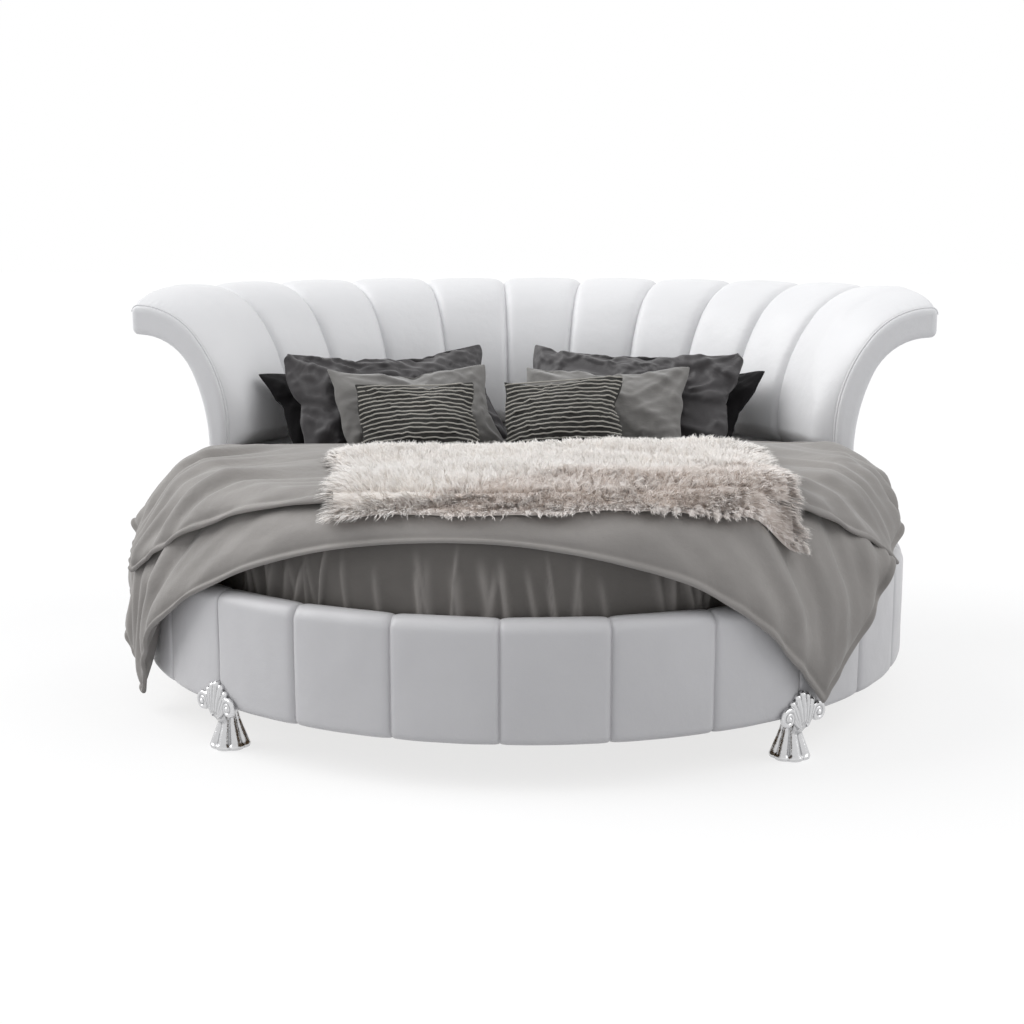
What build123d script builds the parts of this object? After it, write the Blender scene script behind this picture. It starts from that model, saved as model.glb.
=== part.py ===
from build123d import *

import math
import os

# A round upholstered bed, in millimetres, +Z up. The origin is on the bed's axis at floor level,
# the front of the bed is towards -Y and its headboard stands over the rear half, towards +Y.
# Bearings are in degrees round the axis, 0 at the front, and grow towards +X.

os.makedirs("parts", exist_ok=True)

# How far four corners may lie from one plane and still make one flat face
flat_tolerance = 0.001

# Mattress and the level it lies at
mattress_radius = 1000.0
mattress_thickness = 260.0
mattress_edge = 34.0
mattress_sides = 64
deck_height = 375.0
mattress_clearance = 10.0
sheet_gap = 0.3
sheet_thickness = 3.0
sheet_depth = 235.0

# Round base: a bent rail in four lengths with channelled padding on its outside
base_underside = 115.0
rail_height = 295.0
rail_thickness = 20.0
rail_padding = 37.0
panel_rise = 8.0
top_padding = 20.0
top_dip = 4.0
top_rounding = 35.0
foot_rounding = 20.0
foot_chords = 2
top_chords = 3
panel_count = 26
front_panels = 6
rear_panels = 6
panel_shares = ((0.0, 0.0), (0.09, 0.72), (0.5, 1.0), (0.91, 0.72))
widest_panel_share = 0.41
joint_reveal = 1.0
joint_rise_share = 0.55

# Blocks inside the rail ends, and the bolts that draw them together
block_width = 40.0
block_depth = 45.0
block_height = 95.0
block_foot = 15.0
block_root = 5.0
rail_bolt_radius = 6.0
rail_bolt_head_height = 8.0
rail_bolt_head_width = 19.0
rail_bolt_tail = 6.0
bolt_clearance = 0.4
thread_clearance = 0.05

# Headboard: a fan of ribs between a front skin and a back cover, with padded channels over it
headboard_gap = 17.0
headboard_thickness = 63.0
headboard_block_gap = 10.0
headboard_spread = 77.4
channel_pitch = 13.09
channel_count = 11
channel_padding = 48.0
channel_rise = 12.0
channel_shares = ((0.0, 0.0), (0.12, 0.75), (0.5, 1.0), (0.88, 0.75))
pillow_gap = 20.0
padding_start = 12.0
padding_taper = 45.0
flare_spring = 720.0
flare_reach = 305.0
flare_rise = 393.0
flare_tip_radius = 255.0
back_spring = 660.0
back_rise = 360.0
back_tip_radius = 200.0
nose_overhang = 10.0
nose_lip = 4.0
nose_radius = 22.0
nose_flat = 4.0
nose_seam_height = 1075.0
rim_padding = 18.0
rim_edge = 8.0
widest_step_share = 0.38
end_roll = 56.0
end_padding = 4.0
end_roll_shares = (1.0, 0.72, 0.4, 0.15, 0.0)
end_cover_thickness = 8.0
front_skin_thickness = 6.0
back_cover_thickness = 10.0
rib_thickness = 18.0
rib_clearance = 0.3
bottom_rail_height = 45.0
nose_rail_width = 62.0
board_chords = 2
padding_chords = 3
nose_chords = 3

# Spacers and bolts that hold the headboard to the rear of the ring
spacer_width = 60.0
spacer_height = 160.0
spacer_bearings = (120.0, 152.0, 180.0, 208.0, 240.0)
headboard_bolt_bearings = (152.0, 180.0, 208.0)
headboard_bolt_radius = 5.0
headboard_bolt_head_height = 6.5
headboard_bolt_head_width = 17.0
headboard_bolt_end = 5.0
headboard_bore_floor = 3.0

# Slatted deck with its ledgers, beams and legs
slat_thickness = 18.0
slat_width = 80.0
slat_gap = 38.0
slat_clearance = 5.0
ledger_depth = 35.0
ledger_height = 50.0
ledger_bearing = 97.0
rear_ledger_bearing = 72.0
seat_clearance = 0.3
beam_width = 45.0
beam_height = 95.0
beam_spacing = 450.0
leg_width = 45.0
leg_spacing = 450.0

# Levelling glides under the legs
glide_width = 44.0
glide_height = 12.0
glide_chamfer = 2.0
glide_stem_radius = 5.0
glide_stem_length = 45.0
glide_bore_spare = 12.0

# Cast feet
foot_bell_radius = 52.0
foot_groove_depth = 7.0
foot_flutes = 10
foot_flute_corners = 4
foot_bell_shares = ((0.0, 0.97), (0.1, 1.0), (0.5, 0.66), (1.0, 0.4))
foot_bell_height = 78.0
foot_neck_radius = 17.0
foot_round_sides = 16
foot_plate_radius = 26.0
foot_plate_thickness = 6.0
foot_setback = 30.0
foot_crest_height = 186.0
foot_crest_thickness = 15.0
foot_crest_gap = 0.8
foot_crest_waist = 16.0
foot_crest_shoulder = 36.0
foot_crest_start = 80.0
foot_lobe_radius = 15.0
foot_volute_radius = 21.0
foot_volute_spread = 52.0
foot_volute_height = 124.0
foot_volute_proud = 5.0
foot_eye_radius = 8.0
foot_ridge_proud = 6.0

# Duvet folded once, with the fold towards the pillows
duvet_thickness = 26.0
duvet_hang_thickness = 15.0
duvet_clearance = 0.5
duvet_hub = 250.0
duvet_rim_inset = 22.0
duvet_rim_drop = 40.0
duvet_rim_out = 16.0
duvet_fall_gap = 6.0
duvet_ledge_rise = 16.0
duvet_fold_depth = 16.0
duvet_fold_pitch = 17.0
duvet_least_share = 0.02
duvet_back_left_share = -0.06
duvet_back_right_share = 0.15

# Fur throw
throw_thickness = 30.0
throw_rounding = 60.0
throw_corner_shares = ((-0.50, -0.27), (0.69, -0.02), (0.71, -0.93), (-0.45, -0.95))

# Cushions, standing in two groups of four against the headboard
cushion_edge = 6.0
cushion_clearance = 0.5
cushion_stations_shares = (0.0, 0.08, 0.24, 0.5, 0.76, 0.92, 1.0)
cushion_corners = 12
cushion_waist_share = 0.07
sham_width = 780.0
sham_height = 386.0
sham_thickness = 105.0
middle_width = 550.0
middle_height = 324.0
middle_thickness = 95.0
striped_width = 390.0
striped_height = 272.0
striped_thickness = 80.0
side_width = 365.0
side_height = 310.0
side_thickness = 75.0
cushion_lean = 35.0
striped_lean = 33.0
striped_tilt = -5.0
left_sham_turn = 36.7
right_sham_turn = -22.2
left_middle_turn = 24.3
right_middle_turn = -7.4
left_striped_turn = 16.3
right_striped_turn = -2.8
left_side_turn = 54.7
right_side_turn = -49.8

# Where the cushions lie. The shams and the side cushions stand at shares of the mattress's
# radius. The two in front of them lie shares of the thickness of the cushion that they lean on
# from its middle.
left_sham_shares = (-0.454, 0.434)
right_sham_shares = (0.322, 0.523)
left_side_shares = (-0.72, 0.408)
right_side_shares = (0.603, 0.546)
left_middle_shares = (0.838, -1.257)
right_middle_shares = (-0.743, -1.59)
left_striped_shares = (0.168, -1.358)
right_striped_shares = (-1.316, -1.221)


def round_at(bearing, radius, height=0.0):
    """The point at a bearing, radius and height round the bed's axis."""
    angle = math.radians(bearing)
    return Vector(radius * math.sin(angle), -radius * math.cos(angle), height)


def upright(bearing):
    """The vertical plane through the bed's axis, X outwards along the bearing and Y up."""
    out = round_at(bearing, 1)
    return Plane(origin=(0, 0, 0), x_dir=out, z_dir=out.cross(Vector(0, 0, 1)))


def radial_plane(bearing, radius, height):
    """A plane across the radius at a bearing, its normal outwards and its X axis up."""
    out = round_at(bearing, 1)
    return Plane(origin=round_at(bearing, radius, height), x_dir=(0, 0, 1), z_dir=out)


def tangent_at(bearing, radius, height=0.0):
    """A plane across the rail at a bearing: X outwards, Y up, its normal along the rail."""
    plane = upright(bearing)
    return Plane(origin=round_at(bearing, radius, height), x_dir=plane.x_dir, z_dir=plane.z_dir)


def outline(start, *legs):
    """A closed face from a start point and legs: an end point, or a middle and an end of an arc."""
    edges = []
    here = start
    for leg in legs:
        if isinstance(leg[0], tuple):
            edges.append(Edge.make_three_point_arc(here, leg[0], leg[1]))
            here = leg[1]
        else:
            edges.append(Edge.make_line(here, leg))
            here = leg
    edges.append(Edge.make_line(here, start))
    return Face(Wire(edges))


def arc_point(centre, radius, angle):
    """The point on a circle at an angle in degrees."""
    turn = math.radians(angle)
    return (centre[0] + radius * math.cos(turn), centre[1] + radius * math.sin(turn))


def arc_chords(centre, radius, start, end, count):
    """The corners of a round stretch drawn as straight chords, both its ends included."""
    return [arc_point(centre, radius, start + (end - start) * n / count) for n in range(count + 1)]


def flat_face(*corners):
    """A flat face with straight edges between its corners."""
    return Face(Wire.make_polygon(corners, close=True))


def faceted(sections):
    """A solid with flat faces between sections that have as many corners each."""
    faces = [flat_face(*sections[0]), flat_face(*sections[-1])]
    for near, far in zip(sections, sections[1:]):
        for here in range(len(near)):
            there = (here + 1) % len(near)
            one, two, three, four = near[here], near[there], far[there], far[here]
            normal = (two - one).cross(three - one)
            if abs(normal.normalized().dot(four - one)) < flat_tolerance:
                faces.append(flat_face(one, two, three, four))
            else:
                faces += [flat_face(one, two, three), flat_face(one, three, four)]
    return Solid(Shell(faces))


def swept(face, start, end):
    """The face revolved round the bed's axis from one bearing to another."""
    return revolve(upright(start) * face, axis=Axis.Z, revolution_arc=end - start)


def rectangle(inner, outer, low, high):
    """A rectangle in radius and height."""
    return outline((inner, low), (outer, low), (outer, high), (inner, high))


def write(node, *solids):
    """Writes one node, a solid or a group of separate solids."""
    shape = solids[0] if len(solids) == 1 else Compound(children=list(solids))
    export_step(shape, f"parts/{node}.step")


# Radii and levels that follow from the driving sizes. The mattress sits forward of the axis,
# so that it nearly fills the ring in front and leaves room for the padded headboard behind it.
padding_depth = channel_padding + channel_rise
headboard_foot = base_underside + block_foot + block_height + headboard_block_gap
mattress_forward = (
    headboard_gap + headboard_thickness + padding_depth + pillow_gap - mattress_clearance
) / 2
ring_inner = mattress_radius + mattress_forward + mattress_clearance
ring_outer = ring_inner + rail_thickness
base_radius = ring_outer + rail_padding + panel_rise
rail_top = base_underside + rail_height
base_top = rail_top + top_padding
mattress_top = deck_height + mattress_thickness
sheet_top = mattress_top + sheet_gap + sheet_thickness
headboard_back = ring_inner - headboard_gap
headboard_front = headboard_back - headboard_thickness
panel_angle = 360 / panel_count
rear_bearing = 180.0
headboard_start = rear_bearing - headboard_spread
headboard_end = rear_bearing + headboard_spread


def mattress_reach(bearing):
    """How far the mattress edge is from the bed's axis at a bearing."""
    angle = math.radians(bearing)
    along = mattress_forward * math.cos(angle)
    across = mattress_forward * math.sin(angle)
    return along + math.sqrt(mattress_radius**2 - across**2)


# The bent rail, with a hardwood block glued inside each end
front_joint = front_panels / 2 * panel_angle
rear_joint = rear_bearing - rear_panels / 2 * panel_angle
block_middle = base_underside + block_foot + block_height / 2


def rail_block(bearing, side):
    """The block inside a rail end; side is +1 where the rail runs to lower bearings."""
    reach = block_depth + block_root
    block = Box(reach, block_height, block_width)
    place = Pos(block_root - reach / 2, 0, side * block_width / 2)
    return tangent_at(bearing, ring_inner, block_middle) * place * block


def bolt_hole(bearing, side):
    """The hole along the rail: a clearance hole on the head's side, a thread on the other."""
    clearance = bolt_clearance if side > 0 else thread_clearance
    hole = Cylinder(rail_bolt_radius + clearance, block_width)
    place = Pos(-block_depth / 2, 0, side * block_width / 2)
    return tangent_at(bearing, ring_inner, block_middle) * place * hole


def rail_core(start, end):
    """One bent length of rail with its two end blocks, drilled for the bolts."""
    core = swept(rectangle(ring_inner, ring_outer, base_underside, rail_top), start, end)
    core += rail_block(start, -1)
    core += rail_block(end, 1)
    core -= bolt_hole(start, -1)
    core -= bolt_hole(end, 1)
    return core


def cover_section(bearing, rise):
    """The cover's section at a bearing; rise is 0 in a seam and 1 at a panel's crown."""
    outer = ring_outer + rail_padding + panel_rise * rise
    top = base_top - top_dip * (1 - rise)
    low_centre = (outer - foot_rounding, base_underside + foot_rounding)
    high_centre = (outer - top_rounding, top - top_rounding)
    back = ring_outer / math.cos(math.radians(panel_angle * widest_panel_share / 2))
    profile = [(back, base_underside)]
    profile += arc_chords(low_centre, foot_rounding, -90, 0, foot_chords)
    profile += arc_chords(high_centre, top_rounding, 0, 90, top_chords)
    profile += [(ring_inner, top), (ring_inner, rail_top), (back, rail_top)]
    return [round_at(bearing, radius, height) for radius, height in profile]


def rail_cover(start, panels):
    """The padded cover of one rail length: flutes between sewn seams."""
    end = start + panels * panel_angle
    reveal = math.degrees(joint_reveal / base_radius)
    sections = [cover_section(start + reveal, joint_rise_share)]
    for panel in range(panels):
        for share, rise in panel_shares:
            if panel + share > 0:
                sections.append(cover_section(start + (panel + share) * panel_angle, rise))
    sections.append(cover_section(end - reveal, joint_rise_share))
    return faceted(sections)


side_panels = (panel_count - front_panels - rear_panels) // 2
rails = {
    "front": (-front_joint, front_panels),
    "right": (front_joint, side_panels),
    "rear": (rear_joint, rear_panels),
    "left": (2 * rear_bearing - rear_joint, side_panels),
}


def headboard_bolt_hole(bearing, clearance):
    """A hole through the foot of the headboard, its spacer and the rail."""
    length = ring_outer - headboard_bore_floor - headboard_front
    hole = Cylinder(headboard_bolt_radius + clearance, 2 * length)
    height = headboard_foot + bottom_rail_height / 2
    return radial_plane(bearing, headboard_front, height) * hole


rail_cores = {}
for place, (start, panels) in rails.items():
    rail_cores[place] = rail_core(start, start + panels * panel_angle)
    write(f"{place}_rail_cover", rail_cover(start, panels))
for bearing in headboard_bolt_bearings:
    rail_cores["rear"] -= headboard_bolt_hole(bearing, thread_clearance)
for place, core in rail_cores.items():
    write(f"{place}_rail_core", core)


def hex_bolt(radius, length, head_width, head_height):
    """A hexagon bolt along Z: the head stands below zero, the shank above it."""
    head = extrude(RegularPolygon(head_width / 2, 6, major_radius=False), -head_height)
    shank = Pos(0, 0, length / 2) * Cylinder(radius, length)
    return head + shank


rail_bolts = []
for bearing in (-front_joint, front_joint, rear_joint, 2 * rear_bearing - rear_joint):
    length = 2 * block_width - rail_bolt_tail
    bolt = hex_bolt(rail_bolt_radius, length, rail_bolt_head_width, rail_bolt_head_height)
    place = Pos(-block_depth / 2, 0, block_width) * Rot(180, 0, 0)
    rail_bolts.append(tangent_at(bearing, ring_inner, block_middle) * place * bolt)
write("rail_bolts", *rail_bolts)


def flare(foot, spring, reach, rise, tip_radius):
    """Two tangent arcs that carry an upright line out to a level one."""
    slow = (reach**2 + (rise - tip_radius) ** 2 - tip_radius**2) / (2 * (reach - tip_radius))
    low = (foot + slow, spring)
    high = (foot + reach, spring + rise - tip_radius)
    turn = math.degrees(math.atan2(high[1] - low[1], low[0] - high[0]))
    return {"low": low, "slow": slow, "high": high, "tip": tip_radius, "turn": turn}


tip_radius = headboard_front + flare_reach
tip_height = flare_spring + flare_rise
nose = tip_radius + nose_overhang
rim = nose + back_cover_thickness
back_reach = rim - nose_radius - nose_flat - headboard_back
front_flare = flare(headboard_front, flare_spring, flare_reach, flare_rise, flare_tip_radius)
back_flare = flare(headboard_back, back_spring, back_reach, back_rise, back_tip_radius)


def flare_at(curve, offset, share):
    """A point on the flare; share runs 0 to 1 over its low arc and 1 to 2 over its high one."""
    if share <= 1:
        return arc_point(curve["low"], curve["slow"] + offset, 180 - share * curve["turn"])
    angle = 180 - curve["turn"] - (share - 1) * (90 - curve["turn"])
    return arc_point(curve["high"], curve["tip"] + offset, angle)


def flare_arcs(curve, offset):
    """The two arcs of a flare as legs of an outline, from its foot to its tip."""
    return (
        (flare_at(curve, offset, 0.5), flare_at(curve, offset, 1)),
        (flare_at(curve, offset, 1.5), flare_at(curve, offset, 2)),
    )


def flare_chords(curve, offset, steps):
    """The flare as straight chords, so many to each of its two arcs."""
    return [flare_at(curve, offset, step / steps) for step in range(2 * steps + 1)]


nose_top = tip_height - front_skin_thickness
headboard_ribs_foot = headboard_foot + bottom_rail_height
padding_foot = sheet_top + padding_start

# Ribs stand at each seam, at both ends, and half way along the two wide end channels
last_seam = channel_pitch * (channel_count - 2) / 2
rib_bearings = [rear_bearing - headboard_spread]
rib_bearings.append(rear_bearing - (headboard_spread + last_seam) / 2)
for channel in range(channel_count - 1):
    rib_bearings.append(rear_bearing - last_seam + channel * channel_pitch)
rib_bearings.append(rear_bearing + (headboard_spread + last_seam) / 2)
rib_bearings.append(rear_bearing + headboard_spread)


def flatness(bearing):
    """How the boards between two ribs cut inside the circle at a bearing, 1 on a rib."""
    for low, high in zip(rib_bearings, rib_bearings[1:]):
        if low <= bearing <= high:
            half = math.radians((high - low) / 2)
            return math.cos(half) / math.cos(math.radians(bearing - (low + high) / 2))
    return 1.0


def frame_outline(clearance):
    """The space between the front skin and the back cover, in radius and height."""
    front = flare_chords(front_flare, -front_skin_thickness, board_chords)
    back = flare_chords(back_flare, back_cover_thickness + clearance, board_chords)
    front_foot = (front[0][0], headboard_foot)
    back_foot = (back[0][0], headboard_foot)
    nose_low = back[-1][1] + nose_overhang
    bevel = nose_overhang - nose_lip
    points = [*front[:-1], (tip_radius, nose_top), (nose - bevel, nose_top)]
    points += [(nose, nose_top - bevel), (nose, nose_low)]
    points += [*reversed(back), back_foot]
    return [front_foot, *points]


nose_rail_inner = nose - nose_rail_width
rib_reach = nose_rail_inner - rib_clearance
nose_window = rectangle(nose_rail_inner, rim, headboard_ribs_foot, tip_height)
rib_window = rectangle(headboard_front, rib_reach, headboard_ribs_foot, tip_height)
nose_face = (outline(*frame_outline(0)) & nose_window).faces()[0]
rib_face = (outline(*frame_outline(rib_clearance)) & rib_window).faces()[0]

ribs = []
for bearing in rib_bearings:
    inset = 0.0
    if bearing == rib_bearings[0]:
        inset = -rib_thickness / 2
    if bearing == rib_bearings[-1]:
        inset = rib_thickness / 2
    place = upright(bearing) * Pos(0, 0, inset - rib_thickness / 2)
    ribs.append(extrude(place * rib_face, amount=rib_thickness, dir=upright(bearing).z_dir))
write("headboard_ribs", *ribs)
write("headboard_nose_rail", swept(nose_face, headboard_start, headboard_end))

bottom_rail_face = rectangle(headboard_front, headboard_back, headboard_foot, headboard_ribs_foot)
bottom_rail = swept(bottom_rail_face, headboard_start, headboard_end)
for bearing in headboard_bolt_bearings:
    bottom_rail -= headboard_bolt_hole(bearing, bolt_clearance)
write("headboard_bottom_rail", bottom_rail)


def skin_section(bearing):
    """The front boards' section at a rib."""
    outside = flare_chords(front_flare, 0, board_chords)
    inside = flare_chords(front_flare, -front_skin_thickness, board_chords)
    profile = [(headboard_front, headboard_ribs_foot), *outside, *reversed(inside)]
    profile.append((inside[0][0], headboard_ribs_foot))
    return [round_at(bearing, radius, height) for radius, height in profile]


write("headboard_front_skin", faceted([skin_section(bearing) for bearing in rib_bearings]))


def back_cover_section(bearing):
    """The back cover: boards, thin foam and cover, round the nose to the seam on the rim."""
    stretch = 1 / math.cos(math.radians(channel_pitch / 4))
    inside = flare_chords(back_flare, back_cover_thickness, board_chords)
    under_nose = back_spring + back_rise
    nose_centre = (rim - nose_radius, under_nose + nose_radius)
    profile = [(headboard_back, headboard_ribs_foot)]
    profile += flare_chords(back_flare, 0, padding_chords)
    profile += arc_chords(nose_centre, nose_radius, -90, 0, nose_chords)
    profile += [(rim, nose_seam_height), (nose * stretch, nose_seam_height)]
    profile.append((nose * stretch, inside[-1][1] + nose_overhang))
    profile += [(radius * stretch, height) for radius, height in reversed(inside)]
    profile.append((inside[0][0] * stretch, headboard_ribs_foot))
    return [round_at(bearing, radius, height) for radius, height in profile]


back_bearings = [rib_bearings[0]]
for low, high in zip(rib_bearings, rib_bearings[1:]):
    back_bearings += [(low + high) / 2, high]
write("headboard_back_cover", faceted([back_cover_section(bearing) for bearing in back_bearings]))


def channel_section(bearing, depth):
    """The padding's section at a bearing, depth being its thickness over the boards."""
    flat = flatness(bearing)
    boards = [
        (flat * radius, height) for radius, height in flare_chords(front_flare, 0, board_chords)
    ]
    overhang = nose_overhang + rim_padding * depth / channel_padding
    tip = flare_at(front_flare, depth, 2)
    rim_centre = (tip[0], tip[1] - overhang)
    out = tip[0] + overhang
    bevel = nose_overhang - nose_lip
    stretch = 1 / math.cos(math.radians((headboard_spread - last_seam) * widest_step_share / 2))
    profile = [
        (flat * headboard_front, padding_foot),
        (headboard_front - depth, padding_foot + padding_taper),
        *flare_chords(front_flare, depth, padding_chords)[:-1],
        *arc_chords(rim_centre, overhang, 90, 0, nose_chords),
        (out, nose_seam_height + rim_edge),
        ((out + nose * stretch) / 2, nose_seam_height),
        (nose * stretch, nose_seam_height),
        (nose * stretch, nose_top - bevel),
        ((nose - bevel) * stretch, nose_top),
        (boards[-1][0], nose_top),
        *reversed(boards),
    ]
    return [round_at(bearing, radius, height) for radius, height in profile]


def channel_sections():
    """Bearings and depths of the padding across all its channels, mirrored about the rear."""
    half = []
    for channel in range(channel_count // 2 + 1):
        start = (channel - 0.5) * channel_pitch
        for share, rise in channel_shares:
            offset = start + share * channel_pitch
            if 0 <= offset < last_seam:
                half.append((offset, channel_padding + channel_rise * rise))
    wide = headboard_spread - last_seam
    for share, rise in channel_shares[:2]:
        half.append((last_seam + share * wide, channel_padding + channel_rise * rise))
    half.append((last_seam + wide / 2, padding_depth))
    roll_angle = math.degrees(end_roll / (headboard_front + flare_reach / 2))
    for share in end_roll_shares:
        depth = end_padding + (padding_depth - end_padding) * math.sqrt(1 - (1 - share) ** 2)
        half.append((headboard_spread - share * roll_angle, depth))
    left = [(rear_bearing - offset, depth) for offset, depth in reversed(half)]
    right = [(rear_bearing + offset, depth) for offset, depth in half if offset > 0]
    return left + right


channels = faceted([channel_section(bearing, depth) for bearing, depth in channel_sections()])
write("headboard_channels", channels)


def end_cover(bearing, side):
    """The flat padded panel over one end of the headboard, with its outline of arcs."""
    under_nose = back_spring + back_rise
    nose_centre = (rim - nose_radius, under_nose + nose_radius)
    brow = rim - tip_radius
    brow_centre = (tip_radius, tip_height - brow)
    face = outline(
        (headboard_front, headboard_foot),
        flare_at(front_flare, 0, 0),
        *flare_arcs(front_flare, 0),
        (arc_point(brow_centre, brow, 45), (rim, brow_centre[1])),
        (rim, nose_centre[1]),
        (arc_point(nose_centre, nose_radius, -45), (nose_centre[0], under_nose)),
        flare_at(back_flare, 0, 2),
        (flare_at(back_flare, 0, 1.5), flare_at(back_flare, 0, 1)),
        (flare_at(back_flare, 0, 0.5), flare_at(back_flare, 0, 0)),
        (headboard_back, headboard_foot),
    )
    plane = upright(bearing)
    return extrude(plane * face, amount=side * end_cover_thickness, dir=plane.z_dir)


write("headboard_right_end", end_cover(headboard_start, 1))
write("headboard_left_end", end_cover(headboard_end, -1))

spacer_angle = math.degrees(spacer_width / ring_inner)
spacer_face = rectangle(headboard_back, ring_inner, headboard_foot, headboard_foot + spacer_height)
spacers = []
for bearing in spacer_bearings:
    spacer = swept(spacer_face, bearing - spacer_angle / 2, bearing + spacer_angle / 2)
    if bearing in headboard_bolt_bearings:
        spacer -= headboard_bolt_hole(bearing, bolt_clearance)
    spacers.append(spacer)
write("headboard_spacers", *spacers)

headboard_bolts = []
for bearing in headboard_bolt_bearings:
    length = ring_outer - headboard_bolt_end - headboard_front
    bolt = hex_bolt(
        headboard_bolt_radius, length, headboard_bolt_head_width, headboard_bolt_head_height
    )
    height = headboard_foot + bottom_rail_height / 2
    seat = radial_plane(bearing, headboard_front - thread_clearance, height)
    headboard_bolts.append(seat * bolt)
write("headboard_bolts", *headboard_bolts)

# Slatted deck
slat_underside = deck_height - slat_thickness
ledger_gap = math.degrees(joint_reveal / ring_inner)
ledger_face = rectangle(
    ring_inner - ledger_depth, ring_inner, slat_underside - ledger_height, slat_underside
)
ledgers = [
    swept(ledger_face, ledger_gap - front_joint, front_joint - ledger_gap),
    swept(ledger_face, front_joint + ledger_gap, ledger_bearing),
    swept(ledger_face, -ledger_bearing, -front_joint - ledger_gap),
]
write("ledgers", *ledgers)

facet_share = math.cos(math.radians(channel_pitch / 2))
rear_ledger_outer = headboard_front * facet_share - seat_clearance
rear_ledger_inner = rear_ledger_outer - ledger_depth
rear_ledger_face = rectangle(
    rear_ledger_inner, rear_ledger_outer, slat_underside - ledger_height, slat_underside
)
rear_ledger_start = rear_bearing - rear_ledger_bearing
rear_ledger_end = rear_bearing + rear_ledger_bearing
write("rear_ledger", swept(rear_ledger_face, rear_ledger_start, rear_ledger_end))

side_reach = ring_inner - slat_clearance
rear_reach = rear_ledger_outer - slat_clearance
headboard_front_end = headboard_front * math.cos(math.radians(headboard_spread))
slat_pitch = slat_width + slat_gap
slats = []
row = 0
while True:
    row_side = -1 if row % 2 else 1
    middle = row_side * ((row + 1) // 2) * slat_pitch
    far_edge = abs(middle) + slat_width / 2
    beside_headboard = middle + slat_width / 2 > headboard_front_end - slat_gap
    reach = rear_reach if beside_headboard else side_reach
    if far_edge > reach - slat_pitch:
        break
    half = math.sqrt(reach**2 - far_edge**2)
    slat = Box(2 * half, slat_width, slat_thickness)
    slats.append(Pos(0, middle, deck_height - slat_thickness / 2) * slat)
    row += 1
write("slats", *slats)


def beam(across):
    """A beam from front to rear under the slats, its ends clear of the ledgers."""
    edge = abs(across) + beam_width / 2
    front = math.sqrt((ring_inner - ledger_depth - seat_clearance) ** 2 - edge**2)
    rear = math.sqrt((rear_ledger_inner - seat_clearance) ** 2 - edge**2)
    place = Pos(across, (rear - front) / 2, slat_underside - beam_height / 2)
    return place * Box(beam_width, front + rear, beam_height)


write("centre_beam", beam(0))
write("side_beams", beam(-beam_spacing), beam(beam_spacing))

beam_underside = slat_underside - beam_height
leg_foot = glide_height + seat_clearance
leg_places = {
    "centre": (0, 0),
    "front_left": (-beam_spacing, -leg_spacing),
    "front_right": (beam_spacing, -leg_spacing),
    "rear_left": (-beam_spacing, leg_spacing),
    "rear_right": (beam_spacing, leg_spacing),
}
bore_depth = glide_stem_length + glide_bore_spare
legs = []
for across, along in leg_places.values():
    leg = Pos(across, along, (beam_underside + leg_foot) / 2)
    leg *= Box(leg_width, leg_width, beam_underside - leg_foot)
    bore = Cylinder(glide_stem_radius + thread_clearance, bore_depth)
    leg -= Pos(across, along, leg_foot + bore_depth / 2) * bore
    legs.append(leg)
write("support_legs", *legs)


def glide():
    """A levelling glide: a hexagonal pad to turn it by, bevelled at the floor, on a threaded stem."""
    foot = RegularPolygon(glide_width / 2 - glide_chamfer, 6, major_radius=False)
    rim = Pos(0, 0, glide_chamfer) * RegularPolygon(glide_width / 2, 6, major_radius=False)
    pad = loft([foot, rim], ruled=True)
    pad += extrude(rim, glide_height - glide_chamfer)
    stem_top = leg_foot + glide_stem_length
    return pad + Pos(0, 0, stem_top / 2) * Cylinder(glide_stem_radius, stem_top)


for place, (across, along) in leg_places.items():
    write(f"{place}_glide", Pos(across, along, 0) * glide())


def fluted_ring(radius, depth, height):
    """The corners of a fluted ring, like gathered cloth, at a height."""
    corners = []
    count = foot_flutes * foot_flute_corners
    for corner in range(count):
        fold = (1 - math.cos(2 * math.pi * corner / foot_flute_corners)) / 2
        across, along = arc_point((0, 0), radius - depth * fold, 360 * corner / count)
        corners.append(Vector(across, along, height))
    return corners


def foot_crest():
    """The scrolled plate that stands before the rail: a fan of three lobes over two shoulders."""
    lobe_centre = foot_crest_height - foot_lobe_radius
    shoulder = (foot_crest_shoulder, foot_volute_height)
    neck = (foot_lobe_radius, foot_volute_height + foot_volute_radius)
    side_lobe = (foot_lobe_radius + foot_lobe_radius / 2, lobe_centre - foot_lobe_radius / 2)
    top_left = (-foot_lobe_radius / 2, lobe_centre + foot_lobe_radius / 2)
    top_right = (foot_lobe_radius / 2, lobe_centre + foot_lobe_radius / 2)
    return outline(
        (-foot_crest_waist, foot_crest_start),
        (foot_crest_waist, foot_crest_start),
        shoulder,
        neck,
        (side_lobe[0] + foot_lobe_radius / 3, side_lobe[1]),
        top_right,
        (0, foot_crest_height),
        top_left,
        (-side_lobe[0] - foot_lobe_radius / 3, side_lobe[1]),
        (-neck[0], neck[1]),
        (-shoulder[0], shoulder[1]),
    )


def round_bar(radius, length):
    """A cast round bar along Z from zero, drawn with flat sides."""
    return extrude(RegularPolygon(radius, foot_round_sides), length)


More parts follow.
